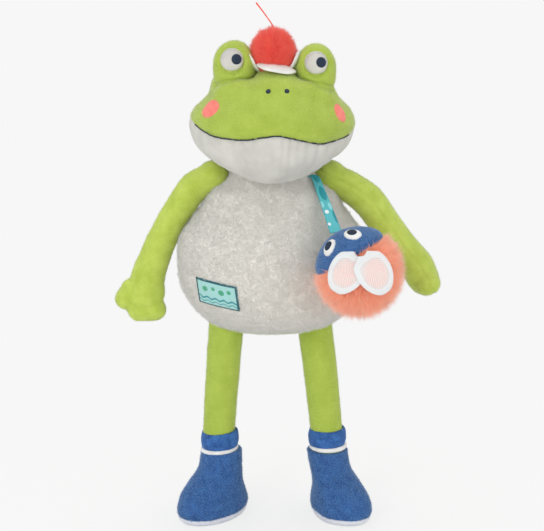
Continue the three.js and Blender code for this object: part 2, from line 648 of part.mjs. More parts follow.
function makeFlower() {
  const centre = new THREE.Vector3(BALL.x, BALL.y, CROWN_Z + BALL.rise);
  place('flower_ball', flowerBall(0).subtract(headForm(GAP)), RED);
  const pods = [-1, 1].map((side) => eyePod(side, GAP));
  PETALS.forEach(({ name, turn, width, sector, open }) => {
    const petal = leaf({
      centre, radius: BALL.radius + GAP, pole: new THREE.Vector3(0, 0, -1),
      toward: new THREE.Vector3(Math.sin(turn), -Math.cos(turn), 0),
      from: PETAL.from, to: PETAL.to - open, halfWidth: width, sectors: [sector, sector],
      thickness: FELT, lift: open * PETAL.lift, fullShare: PETAL.fullShare,
    });
    const cut = petal.subtract(headForm(GAP)).subtract(pods[0]).subtract(pods[1]);
    place(`petal_${name}`, largest(cut), WHITE);
  });
  place('petal_front', largest(brimPetal().subtract(headForm(GAP)).subtract(flowerBall(GAP))
    .subtract(pods[0]).subtract(pods[1])), WHITE);
  const foot = centre.clone().add(new THREE.Vector3(0, 0, BALL.radius + GAP));
  const tip = new THREE.Vector3(-STEM.length * Math.sin(STEM.lean), 0, STEM.length * Math.cos(STEM.lean));
  const bend = tip.clone().multiplyScalar(0.5).add(new THREE.Vector3(STEM.bow, 0, STEM.bow));
  place('flower_stem', tube([foot, foot.clone().add(bend), foot.clone().add(tip)],
    [STEM.radius, STEM.radius, STEM.radius, STEM.radius]), RED);
}

// Ribbon and fly

const flyCentre = new THREE.Vector3(FLY.x, FLY.y, FLY.z);
const flyAcross = new THREE.Vector3(Math.cos(FLY.tilt), 0, Math.sin(FLY.tilt));
const flyUp = new THREE.Vector3(-Math.sin(FLY.tilt), 0, Math.cos(FLY.tilt))
  .applyAxisAngle(flyAcross, -FLY.pitch);
const ahead = flyUp.clone().cross(flyAcross).negate();

// The ribbon leaves the neck seam, bends forward under the jaw and drops to the cap
function ribbonPlaces() {
  const out = new THREE.Vector3(Math.sin(RIBBON.turn), -Math.cos(RIBBON.turn), 0);
  const share = upperShare(1 - RIBBON.below / TORSO.above);
  const neck = TORSO.neckCore + (TORSO.halfWidth - TORSO.neckCore) * share;
  const seam = out.clone().multiplyScalar(neck + GAP).setZ(NECK_Z - RIBBON.below);
  const bend = seam.clone().addScaledVector(out, RIBBON.rootLength).setZ(seam.z + RIBBON.rise);
  const toward = bend.clone().sub(flyCentre).normalize().add(flyUp).normalize();
  const knot = flyCentre.clone().addScaledVector(toward, FLY.radius + GAP + RIBBON.thickness);
  const across = new THREE.Vector3(bend.y - knot.y, knot.x - bend.x, 0).normalize();
  const alongNeck = new THREE.Vector3(-out.y, out.x, 0);
  return { seam, bend, knot, across, alongNeck };
}

// A flat band along a line of points, as wide as the ribbon, that may turn from start to end
function band(points, startAcross, endAcross = startAcross) {
  const curve = new THREE.CatmullRomCurve3(points);
  const shares = [0, 0.25, 0.5, 0.75, 1];
  return loft(shares.map((share) => {
    const middle = curve.getPoint(share);
    const across = startAcross.clone().lerp(endAcross, share).normalize();
    const through = curve.getTangent(share).cross(across).normalize();
    return [[-1, -1], [1, -1], [1, 1], [-1, 1]].map(([a, b]) => middle.clone()
      .addScaledVector(across, (a * RIBBON.width) / 2)
      .addScaledVector(through, (b * RIBBON.thickness) / 2));
  }));
}

function makeRibbon() {
  const { seam, bend, knot, across, alongNeck } = ribbonPlaces();
  const back = seam.clone().sub(bend).normalize();
  const down = knot.clone().sub(bend).normalize();
  const rise = new THREE.Vector3(0, 0, RIBBON.bow);
  const rootEnd = bend.clone().addScaledVector(back, GAP);
  const dropStart = bend.clone().addScaledVector(down, GAP);
  const root = band([seam, seam.clone().lerp(rootEnd, 0.5).add(rise), rootEnd], alongNeck, across);
  place('ribbon_root', root, AQUA);
  const drop = band([dropStart, dropStart.clone().lerp(knot, 0.5), knot], across);
  place('ribbon_drop', drop, AQUA, hanging);
}

// A dome or cup about the fly's own axis, open at the seam between cap and fluff
function flyShell(outer, thickness, seam, top) {
  const arc = (radius, rise) => {
    const open = Math.acos((top ? rise : -rise) / radius);
    const steps = SMALL / 2;
    return Array.from({ length: steps + 1 }, (_, k) => new THREE.Vector2(
      radius * Math.sin((k * open) / steps), (top ? 1 : -1) * radius * Math.cos((k * open) / steps)));
  };
  const profile = [...arc(outer - thickness, seam), ...arc(outer, seam).reverse()];
  profile[0].x = 0;
  profile.at(-1).x = 0;
  const lathe = new THREE.LatheGeometry(profile, ROUND);
  lathe.applyMatrix4(new THREE.Matrix4().makeBasis(flyAcross, flyUp, ahead));
  return moved(lathe, FLY.x, FLY.y, FLY.z);
}

// A lens that lies on the fly, with its flat way along the surface
function flyLens(out, halfWidth, halfHeight, bulge, reach) {
  const up = flyUp.clone().addScaledVector(out, -out.dot(flyUp)).normalize();
  const across = up.clone().cross(out);
  const geometry = new THREE.SphereGeometry(1, SMALL, SMALL / 2).scale(halfWidth, halfHeight, bulge);
  geometry.applyMatrix4(new THREE.Matrix4().makeBasis(across, up, out));
  const spot = flyCentre.clone().addScaledVector(out, reach);
  return moved(geometry, spot.x, spot.y, spot.z);
}

function flyWay(across, aheadBy) {
  const up = Math.sqrt(FLY.radius ** 2 - across ** 2 - aheadBy ** 2);
  return flyAcross.clone().multiplyScalar(across).addScaledVector(ahead, aheadBy)
    .addScaledVector(flyUp, up).normalize();
}

function makeFly() {
  let cap = flyShell(FLY.radius, FLY_CAP.thickness, FLY_CAP.rise + GAP, true);
  for (const [name, side] of [['right', -1], ['left', 1]]) {
    const out = flyWay(FLY_EYE.shift + (side * FLY_EYE.spacing) / 2, FLY_EYE.ahead);
    const white = (grow) => flyLens(out, FLY_EYE.halfWidth + grow, FLY_EYE.halfHeight + grow,
      FLY_EYE.bulge + grow, FLY.radius);
    const pupil = (grow) => flyLens(out, FLY_PUPIL.radius + grow, FLY_PUPIL.radius + grow,
      FLY_PUPIL.bulge + grow, FLY.radius + FLY_EYE.bulge * FLY_PUPIL.seatShare);
    cap = cap.subtract(white(GAP));
    place(`fly_eye_${name}`, white(0).subtract(pupil(GAP)), WHITE, hanging);
    place(`fly_pupil_${name}`, pupil(0), NAVY, hanging);
    place(`fly_wing_${name}`, wing(side), WHITE, hanging);
  }
  place('fly_cap', cap, BLUE, hanging);
  place('fly_fluff', flyShell(FLY.radius, FLUFF.thickness, FLY_CAP.rise, false), ORANGE, hanging);
  const core = FLY.radius - FLUFF.thickness - FLUFF.slack;
  place('fly_stuffing', ball(core, FLY.x, FLY.y, FLY.z, LIMB), FILLING, hanging);
}

function wing(side) {
  const root = flyAcross.clone().multiplyScalar(WING.rootX).addScaledVector(flyUp, WING.rootRise);
  root.addScaledVector(ahead, Math.sqrt(FLY.radius ** 2 - root.lengthSq())).normalize();
  const down = new THREE.Vector3(0, 0, -1);
  down.addScaledVector(root, -down.dot(root)).normalize();
  const start = (WING.startShare * WING.halfWidth) / FLY.radius;
  const inner = WING.sectorShare * WING.spread;
  return leaf({
    centre: flyCentre, radius: FLY.radius + GAP, pole: root,
    toward: down.applyAxisAngle(root, side * -WING.spread), from: start,
    to: start + WING.length / FLY.radius, halfWidth: WING.halfWidth,
    sectors: side > 0 ? [WING.outerSector, inner] : [inner, WING.outerSector],
    thickness: TULLE, lift: WING.lift, fullShare: WING.fullShare,
  });
}

const hanging = new THREE.Group();

makeTorso();
makeLabel();
makeArm('arm_right', -1, RIGHT_REACH, BENT_SHARES);
makeArm('arm_left', 1, LEFT_REACH, STRAIGHT_SHARES);
makeLeg('leg_right', -1);
makeLeg('leg_left', 1);
makeBoot('boot_right', -1);
makeBoot('boot_left', 1);
makeHead();
makeFace();
makeFlower();
makeRibbon();
makeFly();

// The origin lies under the middle of the frog, where its soles stand
const box = new THREE.Box3().setFromObject(model);
const middle = box.getCenter(new THREE.Vector3());
model.add(hanging);
model.position.set(-middle.x, -middle.y, -box.min.z);

export default model;
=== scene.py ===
# %% [markdown]
# # A plush frog with a fly on a ribbon
# The frame comes in first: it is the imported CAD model, and every soft piece made below takes the
# place of one or more of its solids. Working in millimetres, as the part's own sizes are given,
# keeps the numbers readable, so a piece is shaped in millimetres and brought to metres at the end.

# %% The frame and its box
import math

import bmesh
import bpy
import numpy as np
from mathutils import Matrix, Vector
from mathutils import noise as field
from mathutils.bvhtree import BVHTree


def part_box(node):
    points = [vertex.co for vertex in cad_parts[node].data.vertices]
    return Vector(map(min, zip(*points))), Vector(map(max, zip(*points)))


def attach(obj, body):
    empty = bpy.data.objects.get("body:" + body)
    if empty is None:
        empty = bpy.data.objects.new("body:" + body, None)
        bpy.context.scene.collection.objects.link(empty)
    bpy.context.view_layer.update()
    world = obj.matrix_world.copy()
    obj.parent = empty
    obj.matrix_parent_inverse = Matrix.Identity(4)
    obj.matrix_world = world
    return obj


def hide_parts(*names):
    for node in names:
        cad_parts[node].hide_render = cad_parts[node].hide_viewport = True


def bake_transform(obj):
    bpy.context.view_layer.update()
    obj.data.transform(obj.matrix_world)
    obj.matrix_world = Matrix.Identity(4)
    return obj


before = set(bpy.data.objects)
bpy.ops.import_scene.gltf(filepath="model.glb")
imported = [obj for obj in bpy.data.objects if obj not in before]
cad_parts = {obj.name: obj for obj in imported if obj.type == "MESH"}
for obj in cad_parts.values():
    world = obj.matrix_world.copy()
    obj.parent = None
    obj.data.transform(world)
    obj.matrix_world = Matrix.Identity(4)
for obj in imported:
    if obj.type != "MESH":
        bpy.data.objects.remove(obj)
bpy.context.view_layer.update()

# %% [markdown]
# The body's filling is the same on both sides, so the middle of its box says how far the part was
# moved when its origin was put under its feet. Everything is shaped around that middle.

# %% Millimetres to metres
low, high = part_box("torso_stuffing")
SHIFT = np.array([(low.x + high.x) * 500, (low.y + high.y) * 500, 0])
MM = 0.001


def metres(points):
    return (np.asarray(points, float) + SHIFT) * MM


print("moved by", SHIFT.round(3), "mm")

# %% [markdown]
# The camera stands a little above the head and looks slightly down with a long lens, as a product
# photographer does, so the legs come out straight and the head barely grows.

# %% Camera
CAMERA_PLACE, CAMERA_TARGET, LENS = (0, -930, 380), (0, 0, 182), 89.87


def put_in_scene(name, data):
    made_object = bpy.data.objects.new(name, data)
    bpy.context.scene.collection.objects.link(made_object)
    return made_object


def look_at(watcher, target):
    way = Vector(target) - watcher.location
    watcher.rotation_euler = way.to_track_quat("-Z", "Y").to_euler()


camera = put_in_scene("camera", bpy.data.cameras.new("camera"))
bpy.context.scene.camera = camera
camera.data.lens, camera.data.clip_end = LENS, 20
camera.location = metres(CAMERA_PLACE)
look_at(camera, metres(CAMERA_TARGET))
print("camera", [round(v, 3) for v in camera.location])

# %% [markdown]
# ## Tools for shaping
# A sewn and stuffed form is a row of rings. `through` draws a smooth line through a short table, so
# a dozen measured rings become a hundred, and `skin` closes them into one mesh. `edited` opens a
# mesh for changes to its faces.

# %% Smooth tables and closed skins
def through(rows, count):
    rows = np.array(rows, float)
    rows = np.vstack([2 * rows[0] - rows[1], rows, 2 * rows[-1] - rows[-2]])
    spots = np.linspace(0, len(rows) - 3, count)
    first = np.minimum(spots.astype(int), len(rows) - 4)
    t = (spots - first)[:, None]
    a, b, c, d = (rows[first + i] for i in range(4))
    return 0.5 * (2 * b + (c - a) * t + (2 * a - 5 * b + 4 * c - d) * t**2 + (3 * b - a - 3 * c + d) * t**3)


def edited(mesh, *changes):
    graph = bmesh.new()
    graph.from_mesh(mesh)
    for change in changes:
        change(graph)
    graph.to_mesh(mesh)
    graph.free()


def joined(graph):
    bmesh.ops.remove_doubles(graph, verts=graph.verts, dist=1e-4)


def turned_out(graph):
    bmesh.ops.recalc_face_normals(graph, faces=graph.faces)


def only(chosen):
    """Leaves the faces that chosen() picks by their middles."""
    def change(graph):
        kept = chosen(np.array([face.calc_center_median() for face in graph.faces]))
        rest = [face for face, stays in zip(graph.faces, kept) if not stays]
        bmesh.ops.delete(graph, geom=rest, context="FACES")
    return change


def cut_at(place, normal, **options):
    def change(graph):
        everything = [*graph.verts, *graph.edges, *graph.faces]
        bmesh.ops.bisect_plane(graph, geom=everything, plane_co=place, plane_no=normal, **options)
    return change


def from_faces(name, points, faces):
    mesh = bpy.data.meshes.new(name)
    mesh.from_pydata([tuple(p) for p in points], [], faces)
    edited(mesh, joined, turned_out)
    return put_in_scene(name, mesh)


def skin(name, rings):
    rings = np.asarray(rings, float)
    levels, sides = rings.shape[:2]
    points = list(rings.reshape(-1, 3))
    points += [rings[0].mean(0), rings[-1].mean(0)]
    faces = []
    for k in range(sides):
        n = (k + 1) % sides
        faces.append((levels * sides, n, k))
        faces.append((levels * sides + 1, (levels - 1) * sides + k, (levels - 1) * sides + n))
        faces += [(i * sides + k, i * sides + n, (i + 1) * sides + n, (i + 1) * sides + k)
                  for i in range(levels - 1)]
    return from_faces(name, points, faces)


def level_rings(rows, turns):
    """Level rings from rows of height, half width, depth in front, depth behind and dip."""
    turn = np.linspace(0, 2 * math.pi, turns, endpoint=False)
    ahead = np.cos(turn)
    z, width, front, back, dip = (np.asarray(rows, float)[:, [i]] for i in range(5))
    depth = np.where(ahead > 0, front, back)
    drop = np.where(ahead > 0, dip * ahead**2, 0)
    return np.stack([width * np.sin(turn), -depth * ahead, z - drop], axis=2)


print("a smooth table of", len(through([[0], [1], [4]], 9)), "rows from 3")

# %% [markdown]
# Points are read and moved as arrays. `press` moves every point along its own normal, which is how
# a seam is drawn in, a fold is raised and a pile is made uneven. `baked` turns what the modifiers
# show into a plain mesh.

# %% Reading and moving points
def read(piece, key="co"):
    values = np.empty(len(piece.data.vertices) * 3)
    piece.data.vertices.foreach_get(key, values)
    return values.reshape(-1, 3)


def put_points(piece, points):
    piece.data.vertices.foreach_set("co", np.asarray(points, float).ravel())
    piece.data.update()


def press(piece, amount):
    """amount gives millimetres along the normal, from the points and the normals."""
    points, normals = read(piece), read(piece, "normal")
    put_points(piece, points + normals * np.asarray(amount(points, normals))[:, None])


def shown_mesh(piece):
    graph = bpy.context.evaluated_depsgraph_get()
    return bpy.data.meshes.new_from_object(piece.evaluated_get(graph))


def baked(piece):
    mesh = shown_mesh(piece)
    piece.modifiers.clear()
    piece.data = mesh
    return piece


def discard(*pieces):
    for piece in pieces:
        bpy.data.objects.remove(piece)


def waves(points, size, seed=0):
    """Smooth noise from -1 to 1 with features of that size in millimetres."""
    return np.array([field.noise(Vector(p / size) + Vector((seed, 2 * seed, 0))) for p in points])


def drawn_in(distance, depth, width):
    return -depth * np.exp(-((np.asarray(distance) / width) ** 2))


# %% [markdown]
# Last of the tools: a finished piece is brought to metres, gets its material, rides on its body and
# stands for the solids of the frame that it dresses.

# %% Finishing a piece
made = []


def finished(piece, material, body, stands_for=()):
    """Brings the piece to metres, gives it its material and smooth faces, puts it on its body and hides the
    solids that it stands for.
    """
    put_points(piece, metres(read(piece)))
    piece.data.materials.clear()
    piece.data.materials.append(material)
    piece.data.polygons.foreach_set("use_smooth", [True] * len(piece.data.polygons))
    piece.data.update()
    if body:
        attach(piece, body)
    if stands_for:
        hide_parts(*stands_for)
    made.append(piece.name)
    print(piece.name, len(piece.data.polygons), "faces")
    return piece


# %% [markdown]
# ## Finishes
# A shader's sums are easier to read as Python. `Value` wraps a socket and adds Math nodes as an
# expression is written, and `Finish.node` makes any other node from its type, settings and inputs.

# %% Shader expressions
def feed(tree, socket, value):
    """A socket takes a link from another socket, or else a plain value."""
    if isinstance(value, Value):
        value = value.socket
    if isinstance(value, bpy.types.NodeSocket):
        tree.links.new(value, socket)
    else:
        socket.default_value = value


def add_node(tree, kind, inputs, **settings):
    node = tree.nodes.new(kind)
    for key, value in settings.items():
        setattr(node, key, value)
    for key, value in inputs.items():
        feed(tree, node.inputs[key], value)
    return node.outputs


class Value:
    def __init__(self, finish, socket):
        self.finish, self.socket = finish, socket

    def math(self, operation, *terms):
        return self.finish.node("ShaderNodeMath", dict(enumerate(terms)), operation=operation)

    def __add__(self, other):
        return self.math("ADD", self, other)

    def __sub__(self, other):
        return self.math("SUBTRACT", self, other)

    def __rsub__(self, other):
        return self.math("SUBTRACT", other, self)

    def __mul__(self, other):
        return self.math("MULTIPLY", self, other)

    def __truediv__(self, other):
        return self.math("DIVIDE", self, other)

    __radd__, __rmul__ = __add__, __mul__

    def __abs__(self):
        return self.math("ABSOLUTE", self)

    def sine(self):
        return self.math("SINE", self)

    def root(self):
        return self.math("SQRT", self)

    def higher(self, other):
        return self.math("MAXIMUM", self, other)

    def between(self, start, end):
        """0 at start, 1 at end, and eased between them."""
        return self.finish.node("ShaderNodeMapRange", {0: self, 1: start, 2: end},
                                interpolation_type="SMOOTHSTEP")


def linear(code):
    """The linear colour of a six-figure colour code."""
    parts = [int(code[i:i + 2], 16) / 255 for i in (0, 2, 4)]
    return (*[p / 12.92 if p < 0.04045 else ((p + 0.055) / 1.055) ** 2.4 for p in parts], 1)


class Finish:
    def __init__(self, name):
        self.material = bpy.data.materials.new(name)
        self.material.use_nodes = True
        self.tree = self.material.node_tree
        self.shader = self.tree.nodes["Principled BSDF"]
        self.place = self.node("ShaderNodeTexCoord", {}, out="Object")

    def node(self, kind, inputs, out=0, **settings):
        return Value(self, add_node(self.tree, kind, inputs, **settings)[out])

    def set(self, **values):
        for key, value in values.items():
            feed(self.tree, self.shader.inputs[key.replace("_", " ")], value)

    def flat_map(self):
        """Where a point lies on the piece's own map, from 0 to 1 each way."""
        spot = self.node("ShaderNodeSeparateXYZ", {0: self.node("ShaderNodeUVMap", {}, uv_map="flat")})
        return spot, Value(self, spot.socket.node.outputs[1])

    def cloud(self, size, detail=2.0, rough=0.5):
        """Noise from 0 to 1 with features of a size in millimetres."""
        return self.node("ShaderNodeTexNoise", {"Vector": self.place, "Scale": 1 / (size * MM),
                                                "Detail": detail, "Roughness": rough})

    def blended(self, share, first, second):
        first, second = (linear(c) if isinstance(c, str) else c for c in (first, second))
        return self.node("ShaderNodeMix", {0: share, 6: first, 7: second}, out=2, data_type="RGBA")

    def bump(self, height, depth):
        """depth in millimetres for a height from 0 to 1."""
        self.set(Normal=self.node("ShaderNodeBump", {"Height": height, "Distance": depth * MM,
                                                     "Strength": 1.0}))


print("green in linear light", [round(v, 3) for v in linear("b6cd56")])

# %% [markdown]
# Velour, fleece and terry differ in how long their pile is and how it catches the light. Each has a
# slow patchiness where the pile leans another way, a fine grain of yarn, and a sheen at its edges.

# %% Pile fabrics
def pile_fabric(name, dark, light, grain, depth, patch, sheen, tint="ffffff", rough=0.9, mottle=0.35):
    cloth = Finish(name)
    yarn = cloth.cloud(grain, 3.0, 0.65)
    lean = cloth.cloud(patch)
    shade = lean * (1 - mottle) + yarn * mottle
    cloth.set(Base_Color=cloth.blended(shade.between(0.3, 0.7), dark, light), Roughness=rough,
              Sheen_Weight=sheen, Sheen_Roughness=0.45, Sheen_Tint=linear(tint))
    cloth.bump(yarn * 0.75 + cloth.cloud(grain * 4) * 0.25, depth)
    return cloth.material


green_velour = pile_fabric("green_velour", "9fb540", "afc450", 0.55, 0.25, 11, 0.4, "f0ffb0")
# The arms' velour is a lighter copy of the green velour: painted light for the arms, which catch more light than
# the head and legs.
lit_limb_velour = pile_fabric("lit_limb_velour", "adc146", "c5d762", 0.55, 0.25, 9, 0.5, "f4ffc0")
white_velour = pile_fabric("white_velour", "bebcb5", "cfcdc6", 0.5, 0.15, 12, 0.15)
cream_fleece = pile_fabric("cream_fleece", "dddad1", "f1eee7", 1.3, 0.7, 6, 0.6, mottle=0.6)
blue_terry = pile_fabric("blue_terry", "164080", "4077ba", 0.8, 0.6, 5, 0.15, "9cc4ee", mottle=0.55)
red_plush = pile_fabric("red_plush", "e0402f", "fa6250", 0.8, 0.4, 5, 0.4, "ffb0a0")
coral_felt = pile_fabric("coral_felt", "ee7168", "f78b80", 0.5, 0.12, 4, 0.3, "ffc8c0")
white_felt = pile_fabric("white_felt", "dcdbd8", "efeeeb", 0.7, 0.15, 6, 0.3)
sole_cloth = pile_fabric("sole_cloth", "cfd2dc", "dfe1e8", 0.5, 0.15, 8, 0.2)
navy_thread = pile_fabric("navy_thread", "06182c", "0f2a45", 0.35, 0.15, 2, 0.0, "6f8fb8", rough=0.7)
print("pile fabrics", len(bpy.data.materials))

# %% [markdown]
# ## Seams
# Two panels of cloth meet at a seam, and the filling pushes both outwards, so the seam lies in a
# rounded groove. The whole form is shaped first. Then an edge is cut along the seam, the groove is
# pressed in, and the faces go to one panel or the other, so that the panels meet exactly.

# %% Cutting a form along a seam
SEAM_SNAP = 1e-5


def seam_on_plane(piece, place, normal):
    edited(piece.data, cut_at(place, normal, dist=SEAM_SNAP))


def seam_at_height(piece, height):
    """An edge where z is height(x, y), cut by shearing the form until the seam is level."""
    for way in (-1, 1):
        points = read(piece)
        points[:, 2] += way * height(points[:, 0], points[:, 1])
        put_points(piece, points)
        if way < 0:
            seam_on_plane(piece, (0, 0, 0), (0, 0, 1))


def copied(piece, name="nap"):
    mesh = piece.data.copy()
    mesh.name = name
    return put_in_scene(name, mesh)


def thickened(piece, thickness):
    """A cloth's thickness inwards."""
    wall = piece.modifiers.new("cloth", "SOLIDIFY")
    wall.thickness, wall.offset = thickness, -1
    return baked(piece)


def panel(piece, name, keep, thickness=0):
    """The faces whose middles keep() picks, with a cloth's thickness inwards."""
    cloth = copied(piece, name)
    edited(cloth.data, only(keep))
    return thickened(cloth, thickness) if thickness else cloth


# %% [markdown]
# ## Body
# The body is a pear of pile fleece with a green back, joined by a seam behind each side that leans
# back towards the neck. Its lower half is a blunt ellipse and its upper half falls in a bell curve.

# %% The pear
BELLY, NECK_TOP, ROOT_TOP = 190, 250, 244.5
TORSO_WIDE, TORSO_DEEP, TORSO_LOW, TORSO_RISE, NECK_CORE = 65, 54, 54.5, 60, 22
LOWER_POWER, WAIST, WAIST_POWER = 2.5, 0.57, 3.44
SEAM_BACK, SEAM_LEAN, SEAM_FOLD, SEAM_UNDER, TORSO_FOOT = 8, 0.3, 146, 34, 135.5
FOLD_Y = SEAM_BACK + (SEAM_FOLD - BELLY) * SEAM_LEAN
UNDER_LEAN = (FOLD_Y + SEAM_UNDER) / (SEAM_FOLD - TORSO_FOOT)
SIDE_GROOVE, UNDER_GROOVE, GROOVE_WIDE = 2.2, 0.8, 3.5
HIP_OUT, HIP_SWELL, HIP_SPREAD = 31.5, 3.6, 13
SHOULDER_Z, SHOULDER_SWELL, SHOULDER_SPREAD = 230, 9.5, 11
NECK_FOLDS, FOLDS_FROM, FOLDS_RUN, FOLDS_DEEP = 22, 236, 14, 0.5


def bell(rise):
    """How much of the body's width is left at a share of the way from belly to neck."""
    return 1 / (1 + (rise / WAIST) ** WAIST_POWER)


def torso_rows(levels):
    turn = np.linspace(math.pi / 2, 0, levels)[1:]
    out, down = np.cos(turn) ** (2 / LOWER_POWER), np.sin(turn) ** (2 / LOWER_POWER)
    rows = [[BELLY - TORSO_LOW * d, TORSO_WIDE * o, TORSO_DEEP * o, TORSO_DEEP * o, 0]
            for o, d in zip(out, down)]
    for rise in np.linspace(0, 1, levels)[1:]:
        share = bell(rise)
        across = NECK_CORE + (TORSO_WIDE - NECK_CORE) * share
        deep = across * (1 + (TORSO_DEEP / TORSO_WIDE - 1) * share)
        rows.append([BELLY + TORSO_RISE * rise, across, deep, deep, 0])
    return rows


def side_seam_height(x, y):
    return np.where(y > FOLD_Y, BELLY + (y - SEAM_BACK) / SEAM_LEAN, SEAM_FOLD + (y - FOLD_Y) / UNDER_LEAN)


def from_side_seam(points):
    """How far a point is behind the seam, which turns forward under the belly."""
    y, z = points[:, 1], points[:, 2]
    behind = (y - SEAM_BACK - (z - BELLY) * SEAM_LEAN) / math.hypot(1, SEAM_LEAN)
    under = (y - FOLD_Y - (z - SEAM_FOLD) * UNDER_LEAN) / math.hypot(1, UNDER_LEAN)
    return np.where(z > SEAM_FOLD, behind, under)


def uneven(points, *layers):
    """Waves on waves, each layer with its height, size and seed."""
    return sum(height * waves(points, size, seed) for height, size, seed in layers)


def roughened(piece, *layers):
    press(piece, lambda points, normals: uneven(points, *layers))


def side_seams(points, normals):
    depth = np.where(points[:, 2] > SEAM_FOLD, SIDE_GROOVE, UNDER_GROOVE)
    return drawn_in(from_side_seam(points), depth, GROOVE_WIDE) + uneven(points, (0.7, 24, 1), (0.3, 9, 2))


def stuffed_full(points, normals):
    x, y, z = points.T
    folds = np.clip((z - FOLDS_FROM) / FOLDS_RUN, 0, 1) * np.cos(NECK_FOLDS * np.arctan2(x, y))
    hips = np.exp(-((np.abs(x) - HIP_OUT) ** 2 + y**2) / HIP_SPREAD**2) * (z < BELLY)
    shoulders = np.abs(normals[:, 0]) * np.exp(-((z - SHOULDER_Z) ** 2) / SHOULDER_SPREAD**2)
    return FOLDS_DEEP * folds + HIP_SWELL * hips + SHOULDER_SWELL * shoulders


pear = skin("pear", level_rings(torso_rows(levels=72), turns=176))
seam_at_height(pear, side_seam_height)
press(pear, side_seams)
press(pear, stuffed_full)
torso_front = panel(pear, "torso_front_cover", lambda c: from_side_seam(c) < 0, thickness=1.4)
torso_back = panel(pear, "torso_back_cover", lambda c: from_side_seam(c) > 0, thickness=1.2)
roughened(torso_front, (0.25, 4, 3), (0.12, 1.8, 4))
torso_nap = panel(pear, "torso_nap", lambda c: from_side_seam(c) < -1.5)

# %% [markdown]
# ## Head
# The head is wide and low, with cheeks that swing out over the jaw and a crown that narrows towards
# the eyes. The green crown and the white jaw meet at the mouth, and that seam is the smile: it dips,
# rises in the middle and runs up to the corners. The needle draws little gathers into the jaw.

# %% The head's form
HEAD_WIDE, HEAD_FRONT, HEAD_BACK, HEAD_HIGH, CHIN_DROP = 56.5, 66, 44, 71, 10.5
HEAD_BASE, CROWN_TOP = NECK_TOP + 0.3, NECK_TOP + HEAD_HIGH
HEAD_TABLE = [
    [0, 0.478, 0.409, 0.614, 0], [0.092, 0.64, 0.667, 0.77, 1], [0.155, 0.8, 0.82, 0.86, 0.95],
    [0.24, 0.92, 0.925, 0.93, 0.67], [0.352, 0.982, 0.985, 0.99, 0.29], [0.465, 1, 1, 1, 0],
    [0.577, 0.945, 0.945, 0.99, 0], [0.66, 0.84, 0.875, 0.955, 0], [0.735, 0.755, 0.8, 0.9, 0],
    [0.86, 0.71, 0.68, 0.773, 0], [0.93, 0.62, 0.56, 0.63, 0], [0.98, 0.4, 0.36, 0.41, 0],
    [1, 0.03, 0.03, 0.03, 0],
]
MOUTH_TABLE = [
    [-1.04, 1.4], [-0.87, 0.86], [-0.71, 0.49], [-0.555, 0.37], [-0.31, 0.36], [-0.12, 0.52],
    [0.06, 0.63], [0.18, 0.52], [0.31, 0.355], [0.54, 0.06], [0.69, 0.09], [0.9, 0.31], [1.04, 0.8],
]
SMILE_HIGH, SMILE_RISE, JAW_BACK = 34, 11, 8
smile = through(MOUTH_TABLE, 200)


def smile_height(x, y=0):
    rise = np.interp(x, smile[:, 0] * HEAD_WIDE, smile[:, 1])
    return HEAD_BASE + SMILE_HIGH - SMILE_RISE * (1 - rise)


scale = np.array([HEAD_HIGH, HEAD_WIDE, HEAD_FRONT, HEAD_BACK, CHIN_DROP])
rows = through(HEAD_TABLE, 130) * scale + np.array([HEAD_BASE, 0, 0, 0, 0])
head = skin("head", level_rings(rows, turns=288))
seam_at_height(head, smile_height)
seam_on_plane(head, (0, JAW_BACK, 0), (0, 1, 0))
print("head", len(head.data.polygons), "faces")

# %% [markdown]
# The seam of the mouth is pressed in with its gathers, and so is the crease round each eye mound.
# The brow and a temple swell, and the crown is hollow beside the mounds.

# %% The seam of the mouth and its gathers
SIDES = ((-1, "right"), (1, "left"))
GATHERS = (np.linspace(-0.8, 0.8, 15) + np.random.default_rng(7).uniform(-0.04, 0.04, 15)) * HEAD_WIDE
MOUTH_DEEP, CORNER_EASE, MOUTH_GROOVE, JAW_SEAM, JAW_GROOVE = 1.6, 1.3, 2.2, 1.5, 2.5
GATHER_DEEP, GATHER_LEAN = 1.5, 160
EYE_SHIFT, EYE_OUT, EYE_FRONT, EYE_ROLL = 2.7, 27.7, -18, 1
EYE_WIDE, EYE_DEEP, EYE_HIGH, EYE_LOWER_POWER = 14, 15, 16.5, 3.6
CREASE, BROW_X, BROW_Y, BROW_Z, BROW_SPREAD, BROW_SWELL = 1.7, 32, -30, 303, 11, 4.5
TEMPLE, TEMPLE_SPREAD, TEMPLE_SWELL = np.array([42, -18, 303.5]), 7, 2.4
HOLLOW_X, HOLLOW_Z, HOLLOW_SPREAD, HOLLOW_DEEP = 17, 320, 8, 4


def jaw(points):
    return (points[:, 1] < JAW_BACK) & (points[:, 2] < smile_height(points[:, 0]))


def not_jaw(points):
    return ~jaw(points)


def crease(distance, points):
    """A crease fades out where it would nick the outline."""
    return drawn_in(distance, CREASE, CREASE) * faces_front(points)


def faces_front(points):
    return np.clip((EYE_FRONT + 4 - points[:, 1]) / 7, 0, 1)


def from_mound(points, side):
    """About how far a point of the head is outside the lower half of an eye mound."""
    x, z = EYE_SHIFT + side * EYE_OUT, CROWN_TOP - side * EYE_ROLL
    level = np.hypot((points[:, 0] - x) / EYE_WIDE, (points[:, 1] - EYE_FRONT) / EYE_DEEP)
    drop = np.abs(points[:, 2] - z) / EYE_HIGH
    return ((level**EYE_LOWER_POWER + drop**EYE_LOWER_POWER) ** (1 / EYE_LOWER_POWER) - 1) * EYE_DEEP


